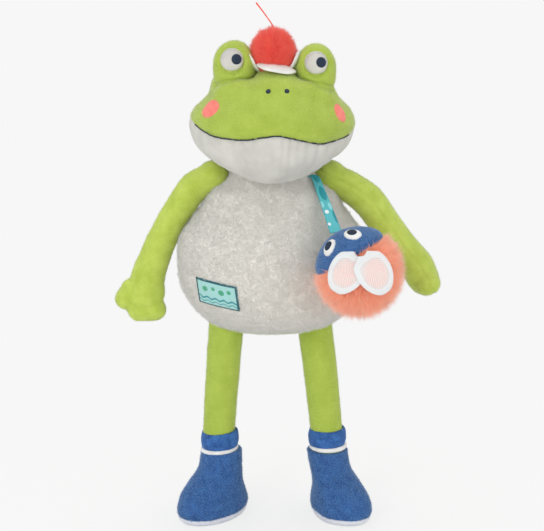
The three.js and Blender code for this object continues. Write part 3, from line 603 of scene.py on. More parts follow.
def mouth_press(points, normals):
    x, y, z = points.T
    above, front = z - smile_height(x), y < JAW_BACK
    corner = np.clip((np.abs(x) / HEAD_WIDE - 0.72) / 0.2, 0, 1)
    amount = np.where(front, drawn_in(above, MOUTH_DEEP - CORNER_EASE * corner, MOUTH_GROOVE), 0)
    amount += np.where(above < 0, drawn_in(y - JAW_BACK, JAW_SEAM, JAW_GROOVE), 0)
    under = np.clip(-above, 0, None)
    for k, middle in enumerate(GATHERS):
        width, run = 1.3 + 0.3 * (k % 4), 9 + 3 * (k % 5)
        fold = np.exp(-(((x - middle * (1 - under / GATHER_LEAN)) / width) ** 2))
        amount -= np.where(front & (above < 0), GATHER_DEEP * fold * np.exp(-under / run), 0)
    for side, _ in SIDES:
        amount += crease(from_mound(points, side), points)
    aside = np.abs(x - EYE_SHIFT)
    brow = np.hypot(np.hypot(aside - BROW_X, y - BROW_Y), z - BROW_Z)
    hollow = np.hypot(aside - HOLLOW_X, z - HOLLOW_Z)
    amount -= drawn_in(brow, BROW_SWELL, BROW_SPREAD)
    amount -= drawn_in(np.linalg.norm(points - TEMPLE, axis=1), TEMPLE_SWELL, TEMPLE_SPREAD)
    amount += drawn_in(hollow, HOLLOW_DEEP, HOLLOW_SPREAD) * faces_front(points)
    return amount + 0.5 * waves(points, 26, 5)


def surface_of(piece):
    return BVHTree.FromPolygons([tuple(p) for p in read(piece)],
                                [tuple(face.vertices) for face in piece.data.polygons])


press(head, mouth_press)
head_surface, pear_surface = surface_of(head), surface_of(pear)
crown = panel(head, "head_crown_cover", not_jaw, thickness=1.0)
chin = panel(head, "head_chin_cover", jaw, thickness=1.0)
naps = [("head_crown", "head", panel(head, "crown_nap", not_jaw)),
        ("torso_back", "torso", panel(pear, "back_nap", lambda c: from_side_seam(c) > 1))]
discard(head, pear)
finished(torso_front, cream_fleece, "torso", ["torso_front", "torso_stuffing"])
finished(torso_back, green_velour, "torso", ["torso_back"])
finished(crown, green_velour, "head", ["head_crown", "head_stuffing"])
finished(chin, white_velour, "head", ["head_chin"])

# %% [markdown]
# A hand or a heel is several rounded forms sewn from one cloth. The forms are joined, remeshed into
# one even skin with voxels, and smoothed, which also fills the creases between them as stuffing does.

# %% Joining forms into one skin
def grown_together(name, forms, voxel, rounds):
    graph = bmesh.new()
    for form in forms:
        graph.from_mesh(form.data)
    mesh = bpy.data.meshes.new(name)
    graph.to_mesh(mesh)
    graph.free()
    discard(*forms)
    whole = put_in_scene(name, mesh)
    even = whole.modifiers.new("even", "REMESH")
    even.mode, even.voxel_size = "VOXEL", voxel
    soft = whole.modifiers.new("soft", "SMOOTH")
    soft.factor, soft.iterations = 0.5, rounds
    return baked(whole)


def rounded(name, centre, sizes, sides=48):
    """An ellipsoid, whose three sizes are half its width, depth and height."""
    tilt = np.linspace(0, math.pi, sides // 2 + 1)[1:-1]
    rows = [[centre[2] - sizes[2] * math.cos(a), sizes[0] * math.sin(a), sizes[1] * math.sin(a),
             sizes[1] * math.sin(a), 0] for a in tilt]
    rings = level_rings(rows, sides)
    rings[:, :, :2] += np.array(centre[:2])
    form = skin(name, rings)
    ends = read(form)
    ends[-2:] = [[*centre[:2], centre[2] - sizes[2]], [*centre[:2], centre[2] + sizes[2]]]
    put_points(form, ends)
    return form


# %% [markdown]
# ## Arms
# Each arm is one tube of velour with a mitten hand: three soft lobes are a thumb, a palm and the
# fingers. The right arm bends at the elbow. The left one is turned so that its seam faces the front.
# A few more rounded forms fill each hand out, as the stuffing does.

# %% Arms
ARM_WIDE, ARM_DEEP, ARM_ROOT, ARM_OUT, ARM_STEPS = 10, 9.4, 11.5, 40.5, 90
HAND_HALF, HAND_DEEP, HAND_LOBE, ARM_SEAM, ARM_GROOVE = 15.5, 8.6, 8.2, 0.7, 1.1
BENT = [[0, 0], [0.256, 0.08], [0.427, 0.205], [0.5625, 0.32], [0.671, 0.44], [0.8, 0.6], [0.92, 0.79],
        [1, 1]]
STRAIGHT = [[0, 0], [0.22, 0.115], [0.402, 0.254], [0.526, 0.402], [0.65, 0.56], [0.785, 0.719],
            [0.925, 0.87], [1, 1]]
ARM_TABLE = [[1.05, 1.05], [1.08, 1.06], [1.04, 1.04], [1.01, 1], [1.01, 1], [1.04, 1.02], [1.1, 1.06],
             [1.22, 1.08], [1.2, 0.98]]
LOBES = [(-0.58, 0.17), (-0.03, 0.25), (0.76, -0.08)]
REACH, LEFT_REACH, LEFT_ROLL, LEFT_FULLER = (50.5, 89.5), (64, 72.5), math.radians(80), 1.5
PALM = [((-ARM_OUT - REACH[0] + aside, 0, ROOT_TOP - REACH[1] - 4.5), (7.6, 8.2, 8.4)) for aside in (-3.5, 1, 5)]
THUMB_AND_WRIST = [((-98.5, 0, 164), (8.5, 7.5, 9)), ((-83.7, 0, 164), (8.5, 8, 13))]
MITT = [((106.2, 0, 173), (10.8, 11.5, 11.2)), ((103.6, 0, 179), (11, 11, 11))]


def unit(vectors):
    return np.asarray(vectors, float) / np.linalg.norm(vectors, axis=-1, keepdims=True)


def tube(name, line, across, out, sizes, sides):
    """A skin round a line, with its own two radii at every step."""
    turn = np.linspace(0, 2 * math.pi, sides, endpoint=False)[:, None]
    return skin(name, [line[i] + sizes[i][0] * np.cos(turn) * across[i] + sizes[i][1] * np.sin(turn) * out[i]
                       for i in range(len(line))])


def make_arm(name, side, reach, roll, shares, filling, fuller=0.0):
    shares = through(shares, ARM_STEPS)
    line = np.column_stack([side * (ARM_OUT + shares[:, 0] * reach[0]), np.zeros(ARM_STEPS),
                            ROOT_TOP - shares[:, 1] * reach[1]])
    along = unit(np.gradient(line, axis=0))
    full = fuller * np.clip(np.linspace(0, 4, ARM_STEPS), 0, 1)[:, None]
    line += full * side * np.cross(along, [0, 1, 0])
    flat = np.cross(np.tile([0.0, 1.0, 0.0], (ARM_STEPS, 1)), along)
    across = flat * math.cos(side * roll) + np.cross(along, flat) * math.sin(side * roll)
    thick = np.cross(along, across)
    sizes = through(ARM_TABLE, ARM_STEPS) * [ARM_WIDE, ARM_DEEP] + full
    forms = [tube("tube", line, across, thick, sizes, 48), rounded("root", line[0], (ARM_ROOT,) * 3)]
    for aside, ahead in LOBES:
        lobe = rounded("lobe", (0, 0, 0), (HAND_LOBE, HAND_LOBE, HAND_DEEP))
        basis = np.array([across[-1], along[-1], thick[-1]])
        middle = line[-1] + HAND_HALF * (aside * across[-1] + ahead * along[-1])
        put_points(lobe, read(lobe) @ basis + middle)
        forms.append(lobe)
    forms += [rounded("filling", *place_and_sizes) for place_and_sizes in filling]
    arm = grown_together(name, forms, voxel=0.9, rounds=10)
    nearest = np.linalg.norm(read(arm)[:, None, [0, 2]] - line[None, :, [0, 2]], axis=2).argmin(1)
    off = ((read(arm) - line[nearest]) * thick[nearest]).sum(1)
    press(arm, lambda p, n: drawn_in(off, ARM_SEAM, ARM_GROOVE) + uneven(p, (0.4, 14, 6), (0.12, 5, 7)))
    return arm


arms = {"arm_right": make_arm("arm_right_plush", -1, REACH, 0, BENT, PALM + THUMB_AND_WRIST),
        "arm_left": make_arm("arm_left_plush", 1, LEFT_REACH, LEFT_ROLL, STRAIGHT, MITT, LEFT_FULLER)}
naps += [(body, body, copied(arm)) for body, arm in arms.items()]
for body, arm in arms.items():
    finished(arm, lit_limb_velour, body, [f"{body}_cover", f"{body}_stuffing"])

# %% [markdown]
# ## Legs and boots
# A leg is a plain tube that tapers to the ankle and has a rounded root where it swings at the hip.
# The boot is blue terry: a foot that turns out, a white piped seam round the ankle, a soft cuff
# above it and a pale sole below.

# %% Legs
LEG_WIDE, ANKLE_WIDE, ANKLE_OUT, HIP_TOP, LEG_END, SWAY = 12, 11, 38, 128, 40, 1.7
LEG_BOW, LEG_ROOT, LEG_ASIDE, BAND_ASIDE = 1.6, 12, {-1: -1.6, 1: 0}, {-1: 1.0, 1: 0}
LEG_SEEN = 142


def leg_middle(side, z):
    share = (HIP_TOP - z) / (HIP_TOP - LEG_END)
    bow = side * LEG_BOW * max(0, share) ** 0.6
    return side * HIP_OUT * (1 - share) + (side * ANKLE_OUT + SWAY) * share + bow + LEG_ASIDE[side]


def make_leg(name, side):
    top = HIP_TOP + LEG_ROOT
    heights = np.linspace(LEG_END, top, 60)
    wide = ANKLE_WIDE + (LEG_WIDE - ANKLE_WIDE) * np.minimum(1, (heights - LEG_END) / (HIP_TOP - LEG_END))
    rings = level_rings(np.column_stack([heights, wide, wide, wide, 0 * wide]), 48)
    rings[:, :, 0] += np.array([leg_middle(side, z) for z in heights])[:, None]
    root = rounded("root", (leg_middle(side, top), 0, top), (LEG_WIDE,) * 3)
    leg = grown_together(name, [skin("tube", rings), root], voxel=1.0, rounds=6)
    roughened(leg, (0.3, 18, 8 + side), (0.1, 6, 9))
    return leg


def below(piece, top):
    """A copy of a limb without what the body hides."""
    part = copied(piece)
    edited(part.data, cut_at((0, 0, top), (0, 0, 1), clear_outer=True))
    return part


for side, label in SIDES:
    body = f"leg_{label}"
    leg = make_leg(f"{body}_plush", side)
    naps.append((body, body, below(leg, LEG_SEEN)))
    finished(leg, green_velour, body, [f"{body}_cover", f"{body}_stuffing"])

# %% [markdown]
# A boot is terry stuffed round, on a flat sole. A sculpted mesh could give that shape too, but a
# short table of rings keeps the sole flat and both boots alike. The rings lengthen towards the toe
# and turn out. The piping and the cuff are closed bands that hang a little askew on the ankle.

# %% Boots
FOOT_LONG, FOOT_WIDE, FOOT_AHEAD, TOE_OUT, BOOT_HIGH, SOLE_HIGH = 29, 19.5, 10, math.radians(40), 47, 5
BOOT_TABLE = [
    [0.11, 1, 1, 1], [0.2, 1.03, 1.03, 1], [0.36, 0.94, 0.97, 0.97], [0.52, 0.74, 0.89, 0.66],
    [0.68, 0.57, 0.79, 0.24], [0.83, 0.52, 0.74, 0.06], [1, 0.49, 0.71, 0],
]
SOLE_TABLE = [[0, 0.86], [0.2, 0.95], [0.6, 1.01], [1, 1]]
HEEL_TUCK, HEEL_TUCK_RISE = 7.5, 25
BAND_INNER, BAND_OUTER, BAND_SLOPES, BAND_LIFT = ANKLE_WIDE + 0.2, 13.6, {-1: 0.07, 1: 0.025}, 0.9
PIPING_FROM, PIPING_TO, CUFF_FROM, CUFF_TO = 47.2, 50.5, 50.0, 62.3


def foot_rings(side, rows, sides=96):
    """Rings from rows of height, half length, half width and place forward."""
    turn = np.linspace(0, 2 * math.pi, sides, endpoint=False)
    z, long, wide, ahead = (np.asarray(rows, float)[:, [i]] for i in range(4))
    x, y = wide * np.sin(turn), -long * np.cos(turn) - ahead
    c, s = math.cos(side * TOE_OUT), math.sin(side * TOE_OUT)
    across = x * c - y * s
    if side > 0:
        low = np.clip((BOOT_HIGH - z) / HEEL_TUCK_RISE, 0, 1)
        across += HEEL_TUCK * low * np.clip(-across / FOOT_WIDE, 0, 1) ** 1.2
    return np.stack([across + side * ANKLE_OUT + SWAY, x * s + y * c, z + 0 * x], axis=2)


def without_caps(graph):
    caps = [face for face in graph.faces if len(face.verts) == 3]
    bmesh.ops.delete(graph, geom=caps, context="FACES")
    loose = [vertex for vertex in graph.verts if not vertex.link_faces]
    bmesh.ops.delete(graph, geom=loose, context="VERTS")


def ankle_band(name, side, low, high, bulge):
    """A soft band round the leg, whose outside swells by bulge, and which hangs a little askew."""
    middle, half = (low + high) / 2, (high - low) / 2
    rows = [[middle - half * math.cos(a), BAND_OUTER - bulge + bulge * math.sin(a)]
            for a in np.linspace(0, math.pi, 15)]
    outside = level_rings([[z, r, r, r, 0] for z, r in rows], 72)
    inside = level_rings([[z, BAND_INNER, BAND_INNER, BAND_INNER, 0] for z, _ in reversed(rows)], 72)
    rings = np.vstack([outside, inside, outside[:1]])
    rings[:, :, 2] += rings[:, :, 0] * BAND_SLOPES[side] + BAND_LIFT * side
    rings[:, :, 0] += leg_middle(side, middle) + BAND_ASIDE[side]
    band = skin(name, rings)
    edited(band.data, without_caps, joined, turned_out)
    return band


def make_boot(name, side):
    scales = np.array([BOOT_HIGH, FOOT_LONG, FOOT_WIDE, FOOT_AHEAD])
    upper = skin(f"{name}_upper_terry", foot_rings(side, through(BOOT_TABLE, 60) * scales))
    roughened(upper, (0.6, 15, 11 + side), (0.3, 3, 12), (0.15, 1.5, 13))
    rows = [[z * SOLE_HIGH, r * FOOT_LONG, r * FOOT_WIDE, FOOT_AHEAD] for z, r in through(SOLE_TABLE, 12)]
    sole = skin(f"{name}_sole_cloth", foot_rings(side, rows))
    piping = ankle_band(f"{name}_piping_cord", side, PIPING_FROM, PIPING_TO, bulge=1.5)
    cuff = ankle_band(f"{name}_cuff_terry", side, CUFF_FROM, CUFF_TO, bulge=1.6)
    roughened(cuff, (0.3, 3, 14 + side), (0.12, 1.5, 15))
    return upper, sole, piping, cuff


uppers = {}
for side, label in SIDES:
    name, body = f"boot_{label}", f"leg_{label}"
    upper, sole, piping, cuff = make_boot(name, side)
    uppers[label] = copied(upper)
    finished(upper, blue_terry, body, [f"{name}_upper", f"{name}_stuffing"])
    finished(sole, sole_cloth, body, [f"{name}_sole"])
    finished(piping, white_felt, body, [f"{name}_piping"])
    finished(cuff, blue_terry, body, [f"{name}_cuff"])

# %% [markdown]
# ## What is sewn on a cover
# Cheeks, eyes and pupils are small pieces of cloth or close stitching that lie on the cover under
# them. `patch` drops each point of a little oval onto the cover below and lifts it by a profile, so
# the piece follows the cover and its edge is tucked in.

# %% Patches
def dome(bulge, edge):
    """A lift that is bulge in the middle and goes under the cover at the rim."""
    return lambda share: bulge * math.sqrt(max(0, 1 - share**2.6)) - edge * share**12


def patch(name, surface, middle, facing, half_width, half_height, lift, rings=12, sides=48, roll=0.0):
    facing = Vector(facing).normalized()
    across = Vector((0, 0, 1)).cross(facing).normalized()
    up = facing.cross(across)
    c, s = math.cos(roll), math.sin(roll)
    grid = []
    for share in np.linspace(0.03, 1, rings):
        ring = []
        for turn in np.linspace(0, 2 * math.pi, sides, endpoint=False):
            u, v = half_width * share * math.cos(turn), half_height * share * math.sin(turn)
            spot = Vector(middle) + across * (u * c - v * s) + up * (u * s + v * c)
            hit, normal = surface.ray_cast(spot + facing * 90, -facing)[:2]
            if hit is None:
                hit, normal = surface.find_nearest(spot)[:2]
            ring.append(hit + normal * lift(share))
        grid.append(ring)
    return skin(name, grid)


# %% [markdown]
# ## Eyes
# Each eye sits in a mound of green velour sewn on the crown. The white is a separate domed disc, and
# the velour folds round it, so a groove is pressed into the mound before the disc is laid on.

# %% Eye mounds, whites and pupils
MOUND_TUCK = {-1: 0, 1: 1.3}
WHITE_HALF, WHITE_SHIFT, WHITE_ABOVE, WHITE_FACING = 8.2, -1.4, 3.2, (0, -1, 0.12)
LID_GROOVE, LID_WIDE, LID_SEAT = 1.5, 1.3, 0.8
PUPIL_HALF, PUPIL_TALL, PUPIL_SHIFT = 3.7, 3.922, 3.2


def from_head(points):
    return np.array([head_surface.find_nearest(Vector(p))[3] for p in points])


def eye_pod(name, centre, wide, levels=64):
    """A mound whose lower half has fuller sides, so that it meets the crown in a soft crease."""
    rows = []
    for tilt in np.linspace(-math.pi / 2, math.pi / 2, levels + 1)[1:-1]:
        power = 2 / EYE_LOWER_POWER if tilt < 0 else 1
        out, up = math.cos(tilt) ** power, math.copysign(abs(math.sin(tilt)) ** power, tilt)
        rows.append([centre[2] + up * EYE_HIGH, out * wide, out * EYE_DEEP, out * EYE_DEEP, 0])
    rings = level_rings(rows, 128)
    rings[:, :, :2] += np.array(centre[:2])
    return skin(name, rings)


def fold_round(mound, spot, seed):
    """The mound's own crease at the crown, and its fold round a white at spot."""
    def lid(points, normals):
        far = np.hypot(points[:, 0] - spot[0], points[:, 2] - spot[2]) - WHITE_HALF
        fold = np.where(points[:, 1] < EYE_FRONT, drawn_in(far, LID_GROOVE, LID_WIDE) - LID_SEAT * (far < 0), 0)
        return fold + uneven(points, (0.25, 10, seed)) + crease(from_head(points), points)
    press(mound, lid)


for side, label in SIDES:
    x, z, tuck = EYE_SHIFT + side * EYE_OUT, CROWN_TOP - side * EYE_ROLL, MOUND_TUCK[side]
    spot = (x + WHITE_SHIFT, EYE_FRONT, z + WHITE_ABOVE)
    mound = eye_pod(f"eye_mound_{label}_plush", (x - tuck, EYE_FRONT, z), EYE_WIDE - tuck / 2)
    fold_round(mound, spot, 20 + side)
    white = patch(f"eye_white_{label}_disc", surface_of(mound), spot, WHITE_FACING, WHITE_HALF, WHITE_HALF,
                  dome(bulge=1.9, edge=1.2))
    pupil = patch(f"pupil_{label}_stitched", surface_of(white), (spot[0] + PUPIL_SHIFT, *spot[1:]), WHITE_FACING,
                  PUPIL_HALF, PUPIL_TALL, dome(bulge=0.45, edge=0.5), rings=8)
    naps.append((f"eye_mound_{label}", "head", copied(mound)))
    finished(mound, green_velour, "head", [f"eye_mound_{label}"])
    finished(white, white_velour, "head", [f"eye_white_{label}"])
    finished(pupil, navy_thread, "head", [f"pupil_{label}"])

# %% [markdown]
# The cheeks are ovals of coral felt at the sides of the face, so each is dropped on the head from a
# direction of its own. The nostrils are close stitching, made as small domed patches, because single
# threads wouldn't show at this size.

# %% Cheeks and nostrils
CHEEK_Z, CHEEK_ROLL = NECK_TOP + 43.5, 1.5
CHEEKS = {-1: (10, 6.1, math.radians(-48.4)), 1: (7.2, 6.4, math.radians(53))}
NOSTRIL_HALF, NOSTRIL_TALL, NOSTRIL_ROLL = 1.9, 1.5, -0.35
NOSTRIL_APART, NOSTRIL_X, NOSTRIL_Z = 12, 3.6, NECK_TOP + 57.3

for side, label in SIDES:
    half, tall, turn = CHEEKS[side]
    cheek = patch(f"cheek_{label}_patch", head_surface, (0, 0, CHEEK_Z - side * CHEEK_ROLL),
                  (math.sin(turn), -math.cos(turn), 0), half, tall, dome(bulge=0.7, edge=0.7))
    place = (NOSTRIL_X + side * NOSTRIL_APART / 2, 0, NOSTRIL_Z)
    nostril = patch(f"nostril_{label}_stitched", head_surface, place, (0, -1, 0), NOSTRIL_HALF,
                    NOSTRIL_TALL, dome(bulge=0.6, edge=0.5), rings=6, sides=24, roll=NOSTRIL_ROLL * side)
    finished(cheek, coral_felt, "head", [f"cheek_{label}"])
    finished(nostril, navy_thread, "head", [f"nostril_{label}"])

# %% [markdown]
# ## Stitches
# Thread repeats the same stitch along a line, which is a job for Geometry Nodes: the line is
# resampled at the stitch's length, a small capsule goes on every point, turned along the line, and
# the result is made real and given its material. The modifier is then baked into a plain mesh.

# %% A tree of nodes, and stitches along a line
SOCKETS = {"Geometry": "Geometry", "Joints": "Int", "Seed": "Int", "Finish": "Material"}


class Plan:
    def __init__(self, name, *inputs):
        self.tree = bpy.data.node_groups.new(name, "GeometryNodeTree")
        self.keys = {}
        for label in inputs:
            kind = "NodeSocket" + SOCKETS.get(label, "Float")
            socket = self.tree.interface.new_socket(label, in_out="INPUT", socket_type=kind)
            self.keys[label] = socket.identifier
        self.tree.interface.new_socket("Geometry", in_out="OUTPUT", socket_type="NodeSocketGeometry")
        self.given = self.tree.nodes.new("NodeGroupInput").outputs

    def node(self, kind, inputs, out=0, **settings):
        return add_node(self.tree, kind, inputs, **settings)[out]

    def times(self, first, second):
        return self.node("ShaderNodeMath", {0: first, 1: second}, operation="MULTIPLY")

    def three(self, x, y, z):
        return self.node("ShaderNodeCombineXYZ", {"X": x, "Y": y, "Z": z})

    def kept(self, geometry, name, value, domain="POINT", kind="FLOAT"):
        """Stores a value on the geometry under a name."""
        return self.node("GeometryNodeStoreNamedAttribute", {"Geometry": geometry, "Name": name, "Value": value},
                         data_type=kind, domain=domain)

    def placed(self, points, instance, turned, size):
        return self.node("GeometryNodeInstanceOnPoints", {"Points": points, "Instance": instance,
                                                          "Rotation": turned, "Scale": size})

    def ends_with(self, geometry):
        real = self.node("GeometryNodeRealizeInstances", {0: geometry})
        shown = self.node("GeometryNodeSetMaterial", {"Geometry": real, "Material": self.given["Finish"]})
        self.tree.links.new(shown, self.tree.nodes.new("NodeGroupOutput").inputs[0])

    def grown(self, name, source, **values):
        """What the tree makes of a source object, as a plain mesh object."""
        plan = source.modifiers.new(name, "NODES")
        plan.node_group = self.tree
        for label, value in values.items():
            plan[self.keys[label]] = value
        mesh = shown_mesh(source)
        source.modifiers.remove(plan)
        return put_in_scene(name, mesh)


sewing = Plan("stitches", "Geometry", "Length", "Thickness", "Slant", "Finish")
given = sewing.given
line = sewing.node("GeometryNodeMeshToCurve", {0: given["Geometry"]})
line = sewing.node("GeometryNodeResampleCurve", {"Curve": line, "Length": given["Length"]}, mode="LENGTH")
tangent = sewing.node("GeometryNodeInputTangent", {})
turned = sewing.node("FunctionNodeAlignRotationToVector", {"Vector": tangent}, axis="X")
slant = sewing.three(0.0, given["Slant"], 0.0)
turned = sewing.node("FunctionNodeRotateRotation", {0: turned, 1: slant}, rotation_space="LOCAL")
size = sewing.three(sewing.times(given["Length"], 0.62), given["Thickness"], given["Thickness"])
capsule = sewing.node("GeometryNodeMeshIcoSphere", {"Radius": 1.0, "Subdivisions": 2})
sewing.ends_with(sewing.placed(line, capsule, turned, size))


def sewn(name, points, length, thickness, slant, body, stands_for=()):
    mesh = bpy.data.meshes.new("line")
    mesh.from_pydata([tuple(p) for p in points], [(i, i + 1) for i in range(len(points) - 1)], [])
    guide = put_in_scene("line", mesh)
    thread = sewing.grown(name, guide, Length=length, Thickness=thickness / 2, Slant=slant, Finish=navy_thread)
    discard(guide)
    finished(thread, navy_thread, body, stands_for)


SMILE_END, THREAD_BELOW, THREAD_PROUD = 0.9, 0.2, 0.45
smile_line = []
for x in np.linspace(-SMILE_END, SMILE_END, 160) * HEAD_WIDE:
    hit = head_surface.ray_cast(Vector((x, -200, smile_height(x) - THREAD_BELOW)), Vector((0, 1, 0)))[0]
    smile_line.append(hit + Vector((0, -THREAD_PROUD, 0)))
sewn("mouth_thread", smile_line, length=2.2, thickness=0.95, slant=0.06, body="head",
     stands_for=["mouth_stitch"])

# %% [markdown]
# ## Pile
# Fur, a pompom and fleece are the same thing at different lengths: thousands of thin tapering
# fibres. The tree scatters points on a cover, puts a three-sided spike on each along the cover's
# normal, leans it at random and sways its tip, and keeps two numbers for the material: how far up
# the fibre a point is, and the fibre's own tint.

# %% A tree that grows pile
growing = Plan("pile", "Geometry", "Density", "Length", "Width", "Lean", "Sway", "Clump", "Joints", "Seed",
               "Finish")
given = growing.given


def at_random(low, high, seed):
    """A random number, or three of them where the limits are threes."""
    first, out, kind = (2, 1, "FLOAT") if isinstance(low, float) else (0, 0, "FLOAT_VECTOR")
    return growing.node("FunctionNodeRandomValue", {first: low, first + 1: high, "Seed": seed},
                        out=out, data_type=kind)


def by_vector(operation, first, second, key=1):
    return growing.node("ShaderNodeVectorMath", {0: first, key: second}, operation=operation)


cover = growing.kept(given["Geometry"], "nap", growing.node("GeometryNodeInputNormal", {}), kind="FLOAT_VECTOR")
spots = add_node(growing.tree, "GeometryNodeDistributePointsOnFaces",
                 {"Mesh": cover, "Density": given["Density"], "Seed": given["Seed"]})
spike = growing.node("GeometryNodeMeshCone", {
    "Vertices": 3, "Side Segments": given["Joints"], "Radius Top": 0.0, "Radius Bottom": given["Width"],
    "Depth": 1.0}, fill_type="NONE")
place = growing.node("GeometryNodeInputPosition", {})
spike = growing.kept(spike, "along", growing.node("ShaderNodeSeparateXYZ", {0: place}, out=2))
limits = growing.three(given["Lean"], given["Lean"], 1.0)
tilt = by_vector("MULTIPLY", at_random((-1, -1, -3.14), (1, 1, 3.14), 3), limits)
turned = growing.node("FunctionNodeRotateRotation", {0: spots["Rotation"], 1: tilt}, rotation_space="LOCAL")
size = growing.three(1.0, 1.0, growing.times(given["Length"], at_random(0.65, 1.1, 5)))
fibres = growing.placed(spots["Points"], spike, turned, size)
fibres = growing.kept(fibres, "tint", at_random(0.0, 1.0, 9), "INSTANCE")
fibres = growing.node("GeometryNodeRealizeInstances", {0: fibres})
along = growing.node("GeometryNodeInputNamedAttribute", {"Name": "along"}, data_type="FLOAT")
reach = growing.times(growing.times(along, along), given["Sway"])
cloud = growing.node("ShaderNodeTexNoise", {"Vector": place, "Scale": given["Clump"], "Detail": 1.0}, out=1)
push = by_vector("SCALE", by_vector("SUBTRACT", cloud, (0.5, 0.5, 0.5)), reach, "Scale")
growing.ends_with(growing.node("GeometryNodeSetPosition", {"Geometry": fibres, "Offset": push}))


def pile(name, cover, body, material, seed, density, length, width, lean, sway, clump=0.3, joints=1,
         own=0.35):
    """Sizes in millimetres, density in fibres for each square millimetre of the cover. A pile is as
    bright as its cloth, so fibres shade mostly like the cover, and own is the share of their own shape."""
    fibres = growing.grown(name, cover, Density=density, Length=length, Width=width, Lean=lean, Sway=sway,
                           Clump=clump, Joints=joints, Seed=seed, Finish=material)
    finished(fibres, material, body)
    nap = np.empty(len(fibres.data.vertices) * 3)
    fibres.data.attributes["nap"].data.foreach_get("vector", nap)
    ways = unit(nap.reshape(-1, 3) + own * read(fibres, "normal"))
    fibres.data.attributes.remove(fibres.data.attributes["nap"])
    fibres.data.normals_split_custom_set_from_vertices(ways.tolist())
    return fibres


def fibre(name, root, tip, spread, sheen=0.3, painted_glow=0.0):
    """A fibre is darker at its root, a painted shade for the depth of the pile, and its tint moves it towards
    the spread colour. Its emission is painted light: a glow of the fibre's own colour that brightens a pile
    where its fibres shade each other."""
    hair = Finish(name)
    along, tint = (hair.node("ShaderNodeAttribute", {}, out="Fac", attribute_name=name)
                   for name in ("along", "tint"))
    colour = hair.blended(tint * 0.6, hair.blended(along.between(0.0, 0.8), root, tip), spread)
    hair.set(Base_Color=colour, Roughness=0.8, Sheen_Weight=sheen)
    if painted_glow:
        hair.set(Emission_Color=colour, Emission_Strength=painted_glow)
    return hair.material


print("trees", [tree.name for tree in bpy.data.node_groups])

# %% [markdown]
# ## Flower
# A red pompom sits between the eyes in five white petals, with a thread of red for a stem. A petal
# is a sheet that starts under the ball and follows it outwards, wide in the middle and cupped. The
# front one droops like the brim of a cap, so it follows a larger ball below the flower.

# %% Pompom and stem
BALL, BALL_X, BALL_Y, BALL_RISE = 16.2, 0.7, -18, 12
POM_WIDE, POM_HIGH, POM_DROP, POM_FUR = 15.6, 16.4, 1.9, 4.6
STEM_THICK, STEM_LONG, STEM_SUNK, STEM_IN = 0.55, 19, 1.5, 3
STEM_LEAN, STEM_BOW, STEM_STEPS = math.radians(36), 0.2, 48
ball_place = np.array([BALL_X, BALL_Y, CROWN_TOP + BALL_RISE])
# The red fibres glow a little: painted light that brightens the pompom.
red_fibre = fibre("red_fibre", "cc2a20", "f84f40", "ff8070", painted_glow=0.17)
core = rounded("flower_ball_core", ball_place - [0, 0, POM_DROP],
               (POM_WIDE - POM_FUR, POM_WIDE - POM_FUR, POM_HIGH - POM_FUR), sides=64)
roughened(core, (1.1, 9, 31), (0.8, 4, 32))
pile("flower_ball_pile", core, "head", red_fibre, seed=4, density=10, length=5.6, width=0.25,
     lean=0.7, sway=5.5, clump=0.26, joints=2, own=1.1)
finished(core, red_plush, "head", ["flower_ball"])

foot = ball_place + [0, 0, BALL - STEM_SUNK]
tip = foot + STEM_LONG * np.array([-math.sin(STEM_LEAN), 0, math.cos(STEM_LEAN)])
line = through([foot - [0, 0, STEM_IN], foot, (foot + tip) / 2 + [STEM_BOW, 0, STEM_BOW], tip], STEM_STEPS)
radii = through([[STEM_THICK * share] * 2 for share in (0.8, 0.8, 0.75, 1)], STEM_STEPS)
along = unit(np.gradient(line, axis=0))
across = unit(np.cross(np.tile([0.0, 1.0, 0.0], (STEM_STEPS, 1)), along))
stem = tube("flower_stem_thread", line, across, np.cross(along, across), radii, 16)
finished(stem, red_plush, "head", ["flower_stem"])

# %% [markdown]
# A thin piece of cloth is two grids of points, one over the other, closed round their edge. It
# keeps a flat map of itself, on which its pattern is drawn.

# %% Thin pieces
def closed_sheet(name, under, over):
    rows, columns = under.shape[:2]
    count, last = rows * columns, (rows - 1) * columns
    faces = []
    for i in range(rows - 1):
        for j in range(columns - 1):
            a, b = i * columns + j, (i + 1) * columns + j
            faces += [(a, b, b + 1, a + 1), (a + count, a + 1 + count, b + 1 + count, b + count)]
    rim = [*range(columns - 1), *range(columns - 1, last + columns - 1, columns),
           *range(last + columns - 1, last, -1), *range(last, 0, -columns)]
    faces += [(a, b, b + count, a + count) for a, b in zip(rim, rim[1:] + rim[:1])]
    mesh = bpy.data.meshes.new(name)
    mesh.from_pydata([tuple(p) for p in np.vstack([under, over]).reshape(-1, 3)], [], faces)
    uv = mesh.uv_layers.new(name="flat")
    for corner in mesh.loops:
        i, j = divmod(corner.vertex_index % count, columns)
        uv.data[corner.index].uv = (j / (columns - 1), i / (rows - 1))
    edited(mesh, turned_out)
    return put_in_scene(name, mesh)


# %% [markdown]
# A petal is cut from thick felt. It could be a flat leaf that a modifier bends. Here each point is
# placed on the ball that the petal follows, which keeps the felt's thickness even and its rim round.

# %% Petals
PETALS = [("left", 87, 9, 0.5, 0), ("right", -84, 9, 0.54, 0), ("back_left", 148, 9, 0.52, 0.1),
          ("back_right", -148, 9, 0.52, 0.1)]
PETAL_FROM, PETAL_TO, PETAL_LIFT, FELT = 0.5, 1.55, 11, 2.0
BRIM_RADIUS, BRIM_DOWN, BRIM_AHEAD, BRIM_ROLL = 34, 44, 3, math.radians(10)
BRIM_FROM, BRIM_TO, BRIM_HALF, BRIM_SECTOR, BRIM_ASIDE = 0.12, 0.52, 21, 1.4, 3.4
LEAF_STEPS, LEAF_ACROSS = 40, 28


